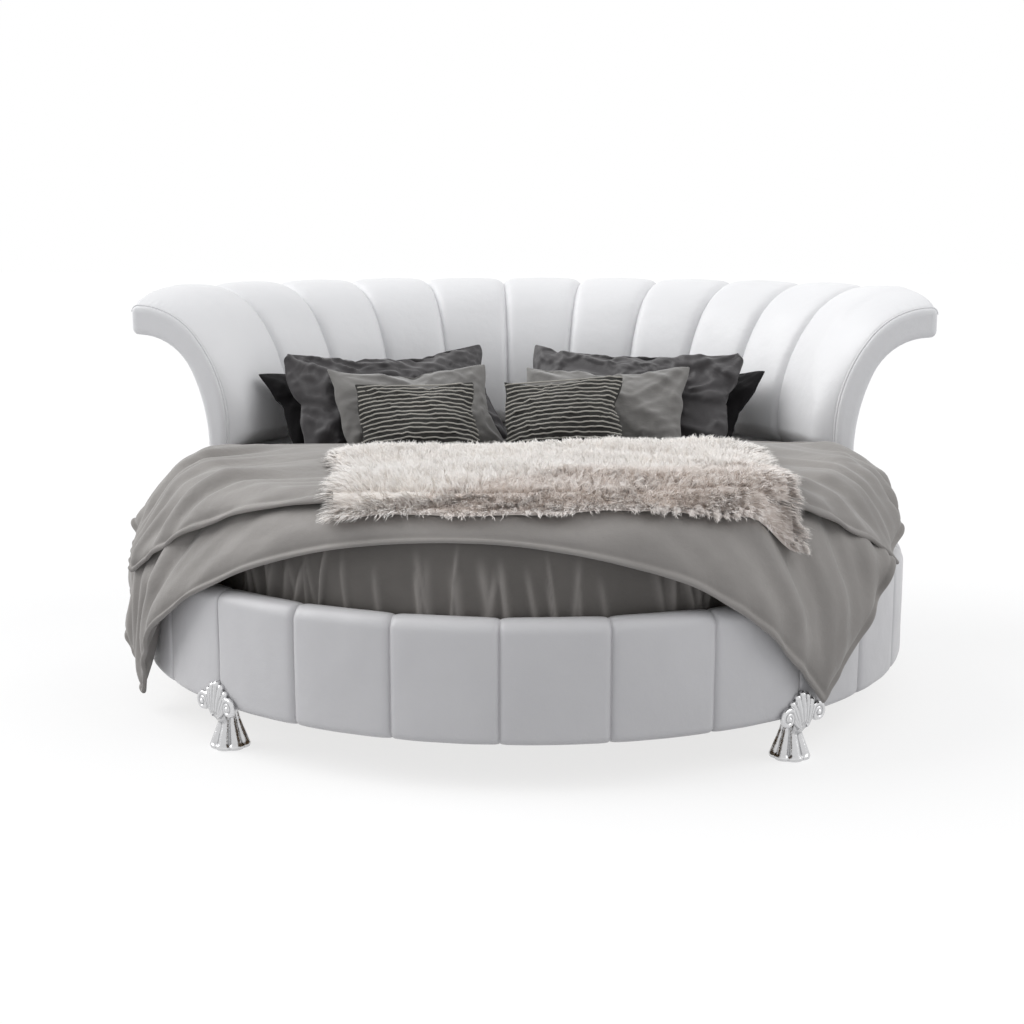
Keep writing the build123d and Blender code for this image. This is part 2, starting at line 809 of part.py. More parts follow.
def foot_ridge(lean, front):
    """One of the plume's three ridges, on the front of the crest; lean is -1, 0 or 1."""
    low = foot_crest_start + foot_lobe_radius
    high = foot_crest_height - foot_lobe_radius * (1 + abs(lean)) / 2
    sections = []
    for height, spread, half in ((low, foot_lobe_radius / 3, foot_lobe_radius / 3),
                                 (high, foot_lobe_radius, foot_lobe_radius / 2)):
        across = lean * spread
        back = front - foot_crest_gap
        corners = [(across - half, back), (across + half, back), (across, front + foot_ridge_proud)]
        sections.append([Vector(x, y, height) for x, y in corners])
    return faceted(sections)


def cast_foot():
    """One foot about its own axis, +Y outwards: fluted bell, neck, seat plate, crest and volutes."""
    rings = [
        fluted_ring(foot_bell_radius * share, foot_groove_depth * share, foot_bell_height * rise)
        for rise, share in foot_bell_shares
    ]
    foot = faceted(rings)
    neck_height = base_underside - foot_bell_height
    foot += Pos(0, 0, foot_bell_height) * round_bar(foot_neck_radius, neck_height)
    plate = round_bar(foot_plate_radius, foot_plate_thickness)
    foot += Pos(0, 0, base_underside - foot_plate_thickness) * plate
    crest_back = foot_setback + foot_crest_gap
    crest = extrude(Plane.XZ * foot_crest(), amount=foot_crest_thickness, dir=(0, 1, 0))
    foot += Pos(0, crest_back, 0) * crest
    bridge_height = base_underside - foot_plate_thickness - foot_crest_start
    bridge = Box(2 * foot_crest_waist, crest_back + foot_neck_radius / 2, bridge_height)
    foot += Pos(0, crest_back / 2, foot_crest_start + bridge_height / 2) * bridge
    for lean in (-1, 0, 1):
        foot += foot_ridge(lean, crest_back + foot_crest_thickness)
    depth = foot_crest_thickness + foot_volute_proud
    for side in (-1, 1):
        place = Pos(side * foot_volute_spread, crest_back, foot_volute_height) * Rot(-90, 0, 0)
        foot += place * round_bar(foot_volute_radius, depth)
        foot += place * round_bar(foot_eye_radius, depth + foot_volute_proud)
    return foot


foot_radius = base_radius - foot_setback
foot_bearings = {
    "front_right": front_joint,
    "rear_right": rear_joint,
    "rear_left": 2 * rear_bearing - rear_joint,
    "front_left": 2 * rear_bearing - front_joint,
}
foot = cast_foot()
for place, bearing in foot_bearings.items():
    spot = Location(round_at(bearing, foot_radius), (0, 0, bearing + 180))
    write(f"{place}_foot", spot * foot)


def turned(profile):
    """A round piece about the mattress's axis, drawn with flat sides so that it stays light."""
    corners = [Vector(radius, 0, height) for radius, height in profile]
    sides = []
    for side in range(mattress_sides):
        turn = Rot(0, 0, 360 * side / mattress_sides)
        sides.append([(turn * Pos(*corner)).position for corner in corners])
    faces = []
    for near, far in zip(sides, sides[1:] + sides[:1]):
        for here in range(len(corners) - 1):
            ring = [near[here], near[here + 1], far[here + 1], far[here]]
            faces.append(flat_face(*ring))
    faces.append(flat_face(*[side[0] for side in sides]))
    faces.append(flat_face(*[side[-1] for side in sides]))
    return Pos(0, -mattress_forward, 0) * Solid(Shell(faces))


mattress_profile = [
    (mattress_radius - mattress_edge, deck_height),
    (mattress_radius, deck_height + mattress_edge),
    (mattress_radius, mattress_top - mattress_edge),
    (mattress_radius - mattress_edge, mattress_top),
]
write("mattress", turned(mattress_profile))

sheet_inner = mattress_radius + sheet_gap
sheet_outer = sheet_inner + sheet_thickness
sheet_foot = mattress_top - sheet_depth
sheet_profile = [
    (sheet_outer - mattress_edge, sheet_top),
    (sheet_outer, sheet_top - mattress_edge),
    (sheet_outer, sheet_foot),
    (sheet_inner, sheet_foot),
    (sheet_inner, mattress_top + sheet_gap - mattress_edge),
    (sheet_inner - mattress_edge, mattress_top + sheet_gap),
]
write("fitted_sheet", turned(sheet_profile))

# The duvet's hems: bearing, height as a share of the sheet's top
duvet_lower_hem_shares = (
    (-112, 0.72), (-97, 0.66), (-89, 0.60), (-81, 0.52), (-74, 0.38), (-68, 0.25), (-62.7, 0.18),
    (-56, 0.29), (-50, 0.40), (-44, 0.55), (-38, 0.79), (-31, 0.88), (-24, 0.915), (-12, 0.945),
    (0, 0.95), (11, 0.93), (20, 0.89), (27, 0.82), (33, 0.66), (38, 0.50), (42.9, 0.26),
    (48, 0.42), (53, 0.57), (59, 0.70), (68, 0.74), (80, 0.76), (92, 0.78), (104, 0.80), (112, 0.8),
)
duvet_upper_hem_shares = (
    (-112, 0.80), (-97, 0.76), (-87, 0.72), (-78, 0.67), (-72, 0.63), (-66, 0.61), (-59, 0.70),
    (-53, 0.79), (-47, 0.88), (-41, 0.97), (-28, 1.005), (-14, 1.01), (0, 1.01), (14, 1.01),
    (28, 1.005), (37, 0.97), (45, 0.90), (52, 0.83), (57, 0.76), (62, 0.69), (69, 0.72),
    (78, 0.76), (90, 0.79), (102, 0.82), (112, 0.83),
)


def duvet_path(bearing, hem, out):
    """Where one face of a layer runs from the top of the bed over its rim and down to the hem."""
    top = sheet_top + duvet_clearance + out
    reach = mattress_reach(bearing) + sheet_gap + sheet_thickness
    side = out * duvet_hang_thickness / duvet_thickness
    wave = math.cos(math.radians(360 * bearing / duvet_fold_pitch))
    fold = duvet_fold_depth * (1 - wave) / 2 * min(1, abs(bearing) / front_joint)
    rim_point = (reach + duvet_rim_out + side, top - duvet_rim_drop)
    ledge = base_top + duvet_ledge_rise + side
    fall = base_radius + duvet_fall_gap + side
    if hem >= ledge:
        share = min(1, max(duvet_least_share, (rim_point[1] - hem) / (rim_point[1] - ledge)))
        lowest = min(hem, rim_point[1] - 2 * duvet_clearance)
        end = (rim_point[0] + share * (fall - rim_point[0]), lowest)
        middle = ((rim_point[0] + end[0]) / 2 + duvet_clearance, (rim_point[1] + end[1]) / 2)
    else:
        middle = (fall + fold / 2, ledge)
        end = (fall + fold, hem)
    return [(duvet_hub, top), (reach - duvet_rim_inset, top), rim_point, middle, end]


def duvet_layer(hems, low, high):
    """One layer of the duvet, from its hub over the rim to its hem, through upright sections."""
    sections = []
    for bearing, share in hems:
        hem = share * sheet_top
        profile = duvet_path(bearing, hem, low) + duvet_path(bearing, hem, high)[::-1]
        sections.append([round_at(bearing, radius, height) for radius, height in profile])
    return faceted(sections)


lower_layer = duvet_layer(duvet_lower_hem_shares, 0, duvet_thickness)
upper_layer = duvet_layer(duvet_upper_hem_shares, duvet_thickness / 2, 2 * duvet_thickness)
duvet_floor = sheet_top + duvet_clearance
duvet_top = duvet_floor + 2 * duvet_thickness
hub_side = 2 * duvet_hub + duvet_thickness
hub = Pos(0, 0, (duvet_floor + duvet_top) / 2) * Box(hub_side, hub_side, duvet_top - duvet_floor)
duvet = lower_layer + upper_layer + hub
back_left = duvet_back_left_share * mattress_radius
back_right = duvet_back_right_share * mattress_radius
half_back = base_radius * 2
slope = math.degrees(math.atan2(back_right - back_left, 2 * mattress_radius))
behind = Pos(0, (back_left + back_right) / 2, duvet_top) * Rot(0, 0, slope)
behind *= Pos(0, half_back / 2, 0) * Box(2 * half_back, half_back, 2 * duvet_top)
duvet -= behind
write("duvet", duvet)

throw_corners = [(x * mattress_radius, y * mattress_radius) for x, y in throw_corner_shares]
throw_face = Face(Wire.make_polygon([(*corner, 0) for corner in throw_corners], close=True))
throw_face = fillet(throw_face.vertices(), throw_rounding)
throw_base = Pos(0, 0, duvet_top + duvet_clearance)
write("fur_throw", extrude(throw_base * throw_face, amount=throw_thickness, dir=(0, 0, 1)))


def cushion(width, height, thickness):
    """A crowned cushion about its middle: X across, Z up, thin at its edges and drawn in between."""
    sections = []
    for share in cushion_stations_shares:
        along = 2 * share - 1
        swell = math.sqrt(1 - along**2)
        half = height / 2 * (1 - cushion_waist_share * (1 - along**2))
        bulge = (cushion_edge + (thickness - cushion_edge) * swell) / 2
        corners = []
        for corner in range(cushion_corners):
            angle = 2 * math.pi * corner / cushion_corners
            corners.append(Vector(along * width / 2, bulge * math.cos(angle), half * math.sin(angle)))
        sections.append(corners)
    return faceted(sections)


def beside(place, shares, size):
    """A place that lies shares of a size away from another."""
    return (place[0] + shares[0] * size, place[1] + shares[1] * size)


def lay_cushion(node, size, place, turn, lean, tilt=0.0):
    """Stands a cushion on the sheet: tilted in its own plane, leaning back, then turned."""
    solid = Rot(0, 0, turn) * Rot(-lean, 0, 0) * Rot(0, tilt, 0) * cushion(*size)
    lift = sheet_top + cushion_clearance - solid.bounding_box().min.Z
    write(node, Pos(*place, lift) * solid)


sham = (sham_width, sham_height, sham_thickness)
middle_cushion = (middle_width, middle_height, middle_thickness)
striped_cushion = (striped_width, striped_height, striped_thickness)
side_cushion = (side_width, side_height, side_thickness)

axis_place = (0, 0)
left_sham_place = beside(axis_place, left_sham_shares, mattress_radius)
right_sham_place = beside(axis_place, right_sham_shares, mattress_radius)
left_side_place = beside(axis_place, left_side_shares, mattress_radius)
right_side_place = beside(axis_place, right_side_shares, mattress_radius)
left_middle_place = beside(left_sham_place, left_middle_shares, sham_thickness)
right_middle_place = beside(right_sham_place, right_middle_shares, sham_thickness)
left_striped_place = beside(left_middle_place, left_striped_shares, middle_thickness)
right_striped_place = beside(right_middle_place, right_striped_shares, middle_thickness)

lay_cushion("left_sham", sham, left_sham_place, left_sham_turn, cushion_lean)
lay_cushion("right_sham", sham, right_sham_place, right_sham_turn, cushion_lean)
for node, place, turn in (
    ("left_middle_cushion", left_middle_place, left_middle_turn),
    ("right_middle_cushion", right_middle_place, right_middle_turn),
):
    lay_cushion(node, middle_cushion, place, turn, cushion_lean)
lay_cushion(
    "left_striped_cushion", striped_cushion, left_striped_place, left_striped_turn, striped_lean
)
lay_cushion(
    "right_striped_cushion", striped_cushion, right_striped_place, right_striped_turn,
    striped_lean, striped_tilt,
)
lay_cushion("left_side_cushion", side_cushion, left_side_place, left_side_turn, cushion_lean)
lay_cushion("right_side_cushion", side_cushion, right_side_place, right_side_turn, cushion_lean)
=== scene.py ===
import math
import random

import bmesh
import bpy
from mathutils import Matrix, Vector, noise
from mathutils.bvhtree import BVHTree


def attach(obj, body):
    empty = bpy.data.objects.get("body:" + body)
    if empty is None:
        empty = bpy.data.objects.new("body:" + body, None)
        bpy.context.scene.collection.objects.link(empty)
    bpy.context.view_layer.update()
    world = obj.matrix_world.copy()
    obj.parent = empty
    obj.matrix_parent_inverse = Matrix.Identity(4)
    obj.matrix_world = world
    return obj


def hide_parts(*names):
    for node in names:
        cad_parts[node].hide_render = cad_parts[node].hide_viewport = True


# A round upholstered bed. Metres, +Z up, the origin on the bed's axis at floor level, the open
# front towards -Y. Bearings are in degrees round the axis, 0 at the front, growing towards +X.
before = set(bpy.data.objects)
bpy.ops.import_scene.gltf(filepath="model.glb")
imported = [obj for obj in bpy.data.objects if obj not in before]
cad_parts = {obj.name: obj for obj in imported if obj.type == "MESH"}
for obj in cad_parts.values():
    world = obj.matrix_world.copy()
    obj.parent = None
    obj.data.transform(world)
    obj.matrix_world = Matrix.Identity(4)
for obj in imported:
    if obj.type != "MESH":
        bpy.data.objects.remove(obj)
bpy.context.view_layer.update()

# Studio: a pale floor that runs out to a white background, two wide soft lamps, the stronger on
# the left, and an even sky. The camera stands a little to the right of the bed's middle.
camera = bpy.data.objects.new("camera", bpy.data.cameras.new("camera"))
camera.data.sensor_width = 36.0
camera.data.lens = 56.05
camera.location = (0.2544, -4.8807, 1.377)
camera.rotation_euler = Vector((-0.0587, 0.9823, -0.1779)).to_track_quat("-Z", "Y").to_euler()
bpy.context.collection.objects.link(camera)
bpy.context.scene.camera = camera
bpy.context.scene.view_settings.view_transform = "Standard"

sky_light = 0.54
lamp_width = 50  # the angle of sky that each lamp fills, in degrees


def combined(tree, operation, first, second):
    """A math node's result for two sockets, or for a socket and a number."""
    node = tree.nodes.new("ShaderNodeMath")
    node.operation = operation
    tree.links.new(first, node.inputs[0])
    if isinstance(second, float):
        node.inputs[1].default_value = second
    else:
        tree.links.new(second, node.inputs[1])
    return node.outputs[0]


def light_path_is_direct(tree):
    """A socket that is 1 for camera, mirror and clear rays, and 0 for rays that carry light."""
    path = tree.nodes.new("ShaderNodeLightPath")
    socket = path.outputs["Is Camera Ray"]
    for name in ("Is Glossy Ray", "Is Transmission Ray"):
        socket = combined(tree, "MAXIMUM", socket, path.outputs[name])
    return socket


def end_in_mix(tree, factor, first, second, end):
    """Ends a tree in a mix of two shaders, all of it the second where the factor is 1."""
    mixed = tree.nodes.new("ShaderNodeMixShader")
    tree.links.new(factor, mixed.inputs["Fac"])
    tree.links.new(first, mixed.inputs[1])
    tree.links.new(second, mixed.inputs[2])
    tree.links.new(mixed.outputs["Shader"], tree.nodes[end].inputs["Surface"])


world = bpy.data.worlds.new("studio")
world.use_nodes = True
sky = world.node_tree.nodes["Background"]
sky.inputs["Color"].default_value = (0.97, 0.98, 1.0, 1.0)
sky.inputs["Strength"].default_value = sky_light
white = world.node_tree.nodes.new("ShaderNodeBackground")
white.inputs["Color"].default_value = (1.0, 1.0, 1.0, 1.0)
white.inputs["Strength"].default_value = 1.0
end_in_mix(
    world.node_tree, light_path_is_direct(world.node_tree),
    sky.outputs["Background"], white.outputs["Background"], "World Output",
)
bpy.context.scene.world = world

for name, energy, direction in (
    ("left_lamp", 2.05, (0.77, -0.12, -0.62)),
    ("right_lamp", 0.90, (-0.76, 0.04, -0.65)),
):
    lamp = bpy.data.objects.new(name, bpy.data.lights.new(name, "SUN"))
    lamp.data.energy = energy
    lamp.data.angle = math.radians(lamp_width)
    lamp.rotation_euler = Vector(direction).to_track_quat("-Z", "Y").to_euler()
    bpy.context.collection.objects.link(lamp)


def finish(name, colour, roughness, **sockets):
    """A material on the principled shader: its colour, its roughness and other plain sockets."""
    material = bpy.data.materials.new(name)
    material.use_nodes = True
    shader = material.node_tree.nodes["Principled BSDF"]
    shader.inputs["Base Color"].default_value = (*colour, 1.0)
    shader.inputs["Roughness"].default_value = roughness
    for socket, value in sockets.items():
        shader.inputs[socket.replace("_", " ")].default_value = value
    return material


def new_piece(name, bm, *materials):
    """Writes a bmesh to a new object with its materials, smooth shaded."""
    mesh = bpy.data.meshes.new(name)
    for face in bm.faces:
        face.smooth = True
    bm.to_mesh(mesh)
    bm.free()
    piece = bpy.data.objects.new(name, mesh)
    for material in materials:
        mesh.materials.append(material)
    bpy.context.collection.objects.link(piece)
    return piece


def blend_colours(material, factor, first, second):
    """A colour socket that runs from the first colour to the second."""
    mixed = material.node_tree.nodes.new("ShaderNodeMix")
    mixed.data_type = "RGBA"
    material.node_tree.links.new(factor, mixed.inputs["Factor"])
    for slot, colour in (("A", first), ("B", second)):
        socket = [item for item in mixed.inputs if item.name == slot and item.type == "RGBA"][0]
        if isinstance(colour, tuple):
            socket.default_value = (*colour, 1.0)
        else:
            material.node_tree.links.new(colour, socket)
    return [item for item in mixed.outputs if item.type == "RGBA"][0]


def paint(material, colour):
    """Takes the material's colour from a socket."""
    shader = material.node_tree.nodes["Principled BSDF"]
    material.node_tree.links.new(colour, shader.inputs["Base Color"])


# The floor throws light up as a light grey one does, and is seen as a nearly white one.
floor_reach = 40.0
floor_thrown = (0.62, 0.62, 0.63)
floor_seen = (0.985, 0.985, 0.985)
floor_glow_share = 0.76
floor_bm = bmesh.new()
bmesh.ops.create_grid(floor_bm, x_segments=1, y_segments=1, size=floor_reach)
floor_paint = finish("floor", floor_seen, 0.9, Specular_IOR_Level=0.0)
floor_tree = floor_paint.node_tree
floor_direct = light_path_is_direct(floor_tree)
paint(floor_paint, blend_colours(floor_paint, floor_direct, floor_thrown, floor_seen))
floor_glow = floor_tree.nodes.new("ShaderNodeEmission")
floor_glow.inputs["Color"].default_value = (1.0, 1.0, 1.0, 1.0)
end_in_mix(
    floor_tree, combined(floor_tree, "MULTIPLY", floor_direct, floor_glow_share),
    floor_tree.nodes["Principled BSDF"].outputs["BSDF"], floor_glow.outputs["Emission"],
    "Material Output",
)
new_piece("floor", floor_bm, floor_paint)


# Bent rail: four lengths of plywood glued up from thin layers round a former, with hardwood end
# blocks. The layers show as thin lines round the edges.
def coordinates(material, scale=(1.0, 1.0, 1.0)):
    """Object coordinates through a mapping with its own scale."""
    tree = material.node_tree
    place = tree.nodes.new("ShaderNodeTexCoord")
    mapping = tree.nodes.new("ShaderNodeMapping")
    mapping.inputs["Scale"].default_value = scale
    tree.links.new(place.outputs["Object"], mapping.inputs["Vector"])
    return mapping.outputs["Vector"]


def cloud(material, vector, scale, detail=3.0):
    """Noise over the surface, as a socket from 0 to 1."""
    texture = material.node_tree.nodes.new("ShaderNodeTexNoise")
    texture.inputs["Scale"].default_value = scale
    texture.inputs["Detail"].default_value = detail
    material.node_tree.links.new(vector, texture.inputs["Vector"])
    return texture.outputs["Fac"]


def spread(material, socket, low, high, from_low=0.3, from_high=0.7):
    """The socket's middle range stretched over low to high."""
    ranged = material.node_tree.nodes.new("ShaderNodeMapRange")
    ranged.inputs["From Min"].default_value = from_low
    ranged.inputs["From Max"].default_value = from_high
    ranged.inputs["To Min"].default_value = low
    ranged.inputs["To Max"].default_value = high
    material.node_tree.links.new(socket, ranged.inputs["Value"])
    return ranged.outputs["Result"]


def dull(material, roughness):
    """Takes the material's roughness from a socket."""
    shader = material.node_tree.nodes["Principled BSDF"]
    material.node_tree.links.new(roughness, shader.inputs["Roughness"])


def relief(material, height, depth):
    """Raises the surface by a height socket, as deep as depth metres, over any relief before it."""
    tree = material.node_tree
    shader = tree.nodes["Principled BSDF"]
    raised = tree.nodes.new("ShaderNodeBump")
    raised.inputs["Strength"].default_value = 1.0
    raised.inputs["Distance"].default_value = depth
    tree.links.new(height, raised.inputs["Height"])
    before = shader.inputs["Normal"].links
    if before:
        tree.links.new(before[0].from_socket, raised.inputs["Normal"])
    tree.links.new(raised.outputs["Normal"], shader.inputs["Normal"])


def dress(node, *materials):
    """Gives a piece of the frame its material."""
    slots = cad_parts[node].data.materials
    slots.clear()
    for material in materials:
        slots.append(material)


plywood = finish("plywood", (0.62, 0.46, 0.28), 0.62)
plywood_grain = cloud(plywood, coordinates(plywood, (2.0, 2.0, 160.0)), 3.0, 6.0)
plywood_tone = spread(plywood, plywood_grain, 0.0, 1.0)
paint(plywood, blend_colours(plywood, plywood_tone, (0.52, 0.36, 0.20), (0.70, 0.53, 0.34)))
relief(plywood, plywood_grain, 0.0004)
for place in ("front", "right", "rear", "left"):
    dress(f"{place}_rail_core", plywood)

# The bolts that draw the rail's lengths together and hold the headboard are zinc plated.
zinc = finish("zinc_plating", (0.66, 0.66, 0.65), 0.34, Metallic=1.0)
zinc_tone = cloud(zinc, coordinates(zinc), 260.0, 4.0)
dull(zinc, spread(zinc, zinc_tone, 0.26, 0.46))
dress("rail_bolts", zinc)
dress("headboard_bolts", zinc)

# Slatted deck: planed softwood ledgers screwed to the rail, slats across them, three beams and
# five square legs under the beams, each leg with a steel glide screwed into its foot.
pine = finish("planed_softwood", (0.70, 0.54, 0.33), 0.55)
pine_grain = cloud(pine, coordinates(pine, (3.0, 40.0, 40.0)), 2.2, 5.0)
pine_tone = spread(pine, pine_grain, 0.0, 1.0)
paint(pine, blend_colours(pine, pine_tone, (0.60, 0.42, 0.23), (0.77, 0.61, 0.40)))
relief(pine, pine_grain, 0.0005)
for node in ("ledgers", "rear_ledger", "slats", "centre_beam", "side_beams", "support_legs"):
    dress(node, pine)
dress("headboard_spacers", pine)

glide_steel = finish("turned_steel", (0.55, 0.55, 0.55), 0.30, Metallic=1.0)
glide_scratches = cloud(glide_steel, coordinates(glide_steel, (1.0, 1.0, 30.0)), 120.0)
dull(glide_steel, spread(glide_steel, glide_scratches, 0.22, 0.42))
for place in ("centre", "front_left", "front_right", "rear_left", "rear_right"):
    dress(f"{place}_glide", glide_steel)


# Base covers: foam and soft synthetic leather over each rail length, sewn into flat panels by
# upright seams. The leather rolls over the top edge and is stapled under the foot.
def round_at(bearing, radius, height):
    """The point at a bearing in degrees, a radius and a height."""
    angle = math.radians(bearing)
    return Vector((radius * math.sin(angle), -radius * math.cos(angle), height))


def bearing_of(point):
    """A point's bearing in degrees."""
    return math.degrees(math.atan2(point.x, -point.y))


def arc(centre, radius, start, end, steps):
    """Points of a round stretch, angles in degrees, both ends included."""
    points = []
    for step in range(steps + 1):
        angle = math.radians(start + (end - start) * step / steps)
        across = centre[0] + radius * math.cos(angle)
        points.append((across, centre[1] + radius * math.sin(angle)))
    return points


def evenly(points, spacing):
    """The outline with points added on its long straight stretches."""
    closer = []
    for here, there in zip(points, points[1:] + points[:1]):
        length = math.dist(here, there)
        steps = max(1, round(length / spacing))
        for step in range(steps):
            share = step / steps
            closer.append([a + (b - a) * share for a, b in zip(here, there)])
    return closer


def revolved(profile, start, sweep, steps):
    """A closed solid: an outline of radius and height spun round the axis, with capped ends."""
    bm = bmesh.new()
    corners = [bm.verts.new(round_at(start, radius, height)) for radius, height in profile]
    edges = [bm.edges.new((a, b)) for a, b in zip(corners, corners[1:] + corners[:1])]
    first = bm.faces.new(corners)
    spun = bmesh.ops.spin(
        bm, geom=corners + edges, cent=(0, 0, 0), axis=(0, 0, 1), angle=math.radians(sweep),
        steps=steps,
    )
    ends = [item for item in spun["geom_last"] if isinstance(item, bmesh.types.BMEdge)]
    bmesh.ops.contextual_create(bm, geom=ends)
    bmesh.ops.recalc_face_normals(bm, faces=bm.faces)
    first.smooth = False
    return bm


def rounded(piece):
    """Rounds a piece's facets off by one level of subdivision."""
    rounder = piece.modifiers.new("rounder", "SUBSURF")
    rounder.levels = rounder.render_levels = 1


def ramp(value, start, width):
    """Rises evenly from 0 to 1 while the value crosses a width from its start."""
    return min(1, max(0, (value - start) / width))


def crowded(share, crowding):
    """Moves even steps across a panel towards its two seams."""
    return share - crowding * math.sin(2 * math.pi * share) / (2 * math.pi)


def leather(name, light, shade):
    """Soft synthetic leather: fine pebbled grain, faint creases and an even satin gloss."""
    material = finish(name, light, 0.42, Specular_IOR_Level=0.45, Coat_Weight=0.04)
    place = coordinates(material)
    patches = cloud(material, place, 2.6, 4.0)
    paint(material, blend_colours(material, spread(material, patches, 0.0, 1.0), light, shade))
    dull(material, spread(material, cloud(material, place, 14.0, 5.0), 0.36, 0.50))
    pebbles = material.node_tree.nodes.new("ShaderNodeTexVoronoi")
    pebbles.inputs["Scale"].default_value = 620.0
    material.node_tree.links.new(place, pebbles.inputs["Vector"])
    relief(material, pebbles.outputs["Distance"], 0.00022)
    relief(material, cloud(material, place, 26.0, 6.0), 0.0016)
    return material


# The base's leather is the headboard's white leather painted a darker grey: painted shade on the
# low, upright base.
painted_shade_base_leather = leather("painted_shade_base_leather", (0.62, 0.615, 0.625), (0.57, 0.565, 0.575))

panel_angle = 360 / 26
base_outer = 1.150
base_inner = 1.087
base_foot = 0.1155
base_top = 0.430
foot_round = 0.022
top_round = 0.036
rail_top = 0.411
rail_face = 1.1075
outline_spacing = 0.016
seam_depth = 0.010
seam_reach = 0.0055
joint_depth = 0.004
joint_reach = 0.004
joint_gap = 0.0004
panel_crown = 0.003
steps_per_panel = 22


def base_profile():
    """The cover's outline: under the foot, up the face, over the roll and down to the rail top."""
    foot = arc((base_outer - foot_round, base_foot + foot_round), foot_round, -90, 0, 6)
    roll = arc((base_outer - top_round, base_top - top_round), top_round, 0, 90, 9)
    inner = [(base_inner, base_top - 0.004), (base_inner, rail_top), (rail_face, rail_top)]
    return evenly([*foot, *roll, *inner, (rail_face, base_foot)], outline_spacing)


def base_cover(place, first_seam, panels):
    """One length of the cover. Its two end seams are plain butt joints, the others are sewn."""
    bm = revolved(base_profile(), 0, panels * panel_angle, panels * steps_per_panel)
    for vertex in bm.verts:
        turn = bearing_of(vertex.co) % 360
        if turn > 359:
            turn = 0
        radius = vertex.co.xy.length
        height = vertex.co.z
        panel = min(panels - 1, int(turn / panel_angle + 1e-6))
        share = crowded(turn / panel_angle - panel, 0.93)
        bearing = first_seam + (panel + share) * panel_angle
        near_end = (panel == 0 and share < 0.5) or (panel == panels - 1 and share >= 0.5)
        away = max(0, min(share, 1 - share)) * math.radians(panel_angle) * base_outer
        reach, depth = (joint_reach, joint_depth) if near_end else (seam_reach, seam_depth)
        dip = depth * math.exp(-((away / reach) ** 1.3))
        swell = panel_crown * (1 - abs(2 * share - 1) ** 4)
        on_face = ramp(radius, 1.11, 0.02)
        on_roll = ramp(height, 0.37, 0.03)
        ripple = noise.noise(Vector((bearing * 0.35, height * 9, 3.0))) * 0.0016
        pucker = math.exp(-away / 0.035) * noise.noise(Vector((bearing * 0.9, height * 42, 7.0)))
        pucker *= 0.0022 * (0.35 + 0.65 * on_roll)
        out = radius + on_face * (swell - dip + ripple + pucker)
        lift = on_roll * (swell - 0.35 * dip)
        if near_end and away < 0.0005:
            bearing += math.degrees(joint_gap / base_outer) * (1 if share < 0.5 else -1)
        vertex.co = round_at(bearing, out, height + lift)
    piece = new_piece(f"{place}_base_cover", bm, painted_shade_base_leather)
    rounded(piece)
    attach(piece, "bed")
    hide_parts(f"{place}_rail_cover")


for place, first_seam, panels in (
    ("front", -3 * panel_angle, 6),
    ("right", 3 * panel_angle, 7),
    ("rear", 10 * panel_angle, 6),
    ("left", 16 * panel_angle, 7),
):
    base_cover(place, first_seam, panels)

# Headboard frame: plywood ribs between boards, a bottom rail on spacers and a nose rail. All of
# it is hidden under the padding and the back cover.
for node in ("ribs", "nose_rail", "bottom_rail"):
    dress(f"headboard_{node}", plywood)

# Headboard padding: eleven foam channels under white synthetic leather. It flares in two arcs,
# turns over the nose to a seam on the rim and rolls off at both ends to a welt.
headboard_leather = leather("headboard_leather", (0.83, 0.83, 0.84), (0.79, 0.79, 0.80))
headboard_spread = 77.4
inner_seams = [-58.9, -45.8, -32.7, -19.6, -6.5, 6.5, 19.6, 32.7, 45.8, 58.9]
channel_seams = [-headboard_spread, *inner_seams, headboard_spread]
steps_per_channel = 26
boards_radius = 1.005
back_radius = 1.068
rim_radius = 1.330
nose_round = 0.022
headboard_foot = 0.282
padding_foot = 0.6425
flare_spring = 0.720
padding_seam = 1.0755
back_seam = 1.0745


def flare(foot, spring, reach, rise, tip_radius):
    """Two tangent arcs that carry an upright line out to a level one."""
    slow = (reach**2 + (rise - tip_radius) ** 2 - tip_radius**2) / (2 * (reach - tip_radius))
    low = (foot + slow, spring)
    high = (foot + reach, spring + rise - tip_radius)
    turn = math.degrees(math.atan2(high[1] - low[1], low[0] - high[0]))
    return {"low": low, "slow": slow, "high": high, "tip": tip_radius, "turn": turn}


front_flare = flare(boards_radius, flare_spring, 0.305, 0.393, 0.255)
back_reach = rim_radius - nose_round - 0.004 - back_radius
back_flare = flare(back_radius, 0.660, back_reach, 0.360, 0.200)


def flare_line(curve, offset, steps, tip_steps):
    """Points along the flare, offset outwards, from its foot to its tip."""
    low = arc(curve["low"], curve["slow"] + offset, 180, 180 - curve["turn"], steps)
    high = arc(curve["high"], curve["tip"] + offset, 180 - curve["turn"], 90, tip_steps)
    return low + high[1:]


def soft_step(value):
    """Rises smoothly from 0 to 1 while the value does."""
    value = min(1.0, max(0.0, value))
    return value * value * (3 - 2 * value)


def padding_line(depth):
    """The padding's outer line at one depth: foot, flare, over the nose and down to its seam."""
    overhang = 0.010 + 0.018 * depth / 0.048
    tip = (1.310, 1.113 + depth)
    nose = arc((tip[0], tip[1] - overhang), overhang, 90, 0, 8)
    rising = [(boards_radius - depth, 0.695 + (flare_spring - 0.695) * n / 2) for n in range(2)]
    foot = [(boards_radius, padding_foot), (boards_radius - depth * 0.6, 0.656)]
    low = [(tip[0] + overhang, 1.083), (tip[0] + overhang - 0.006, padding_seam)]
    return foot + rising + flare_line(front_flare, depth, 12, 28) + nose[1:] + low


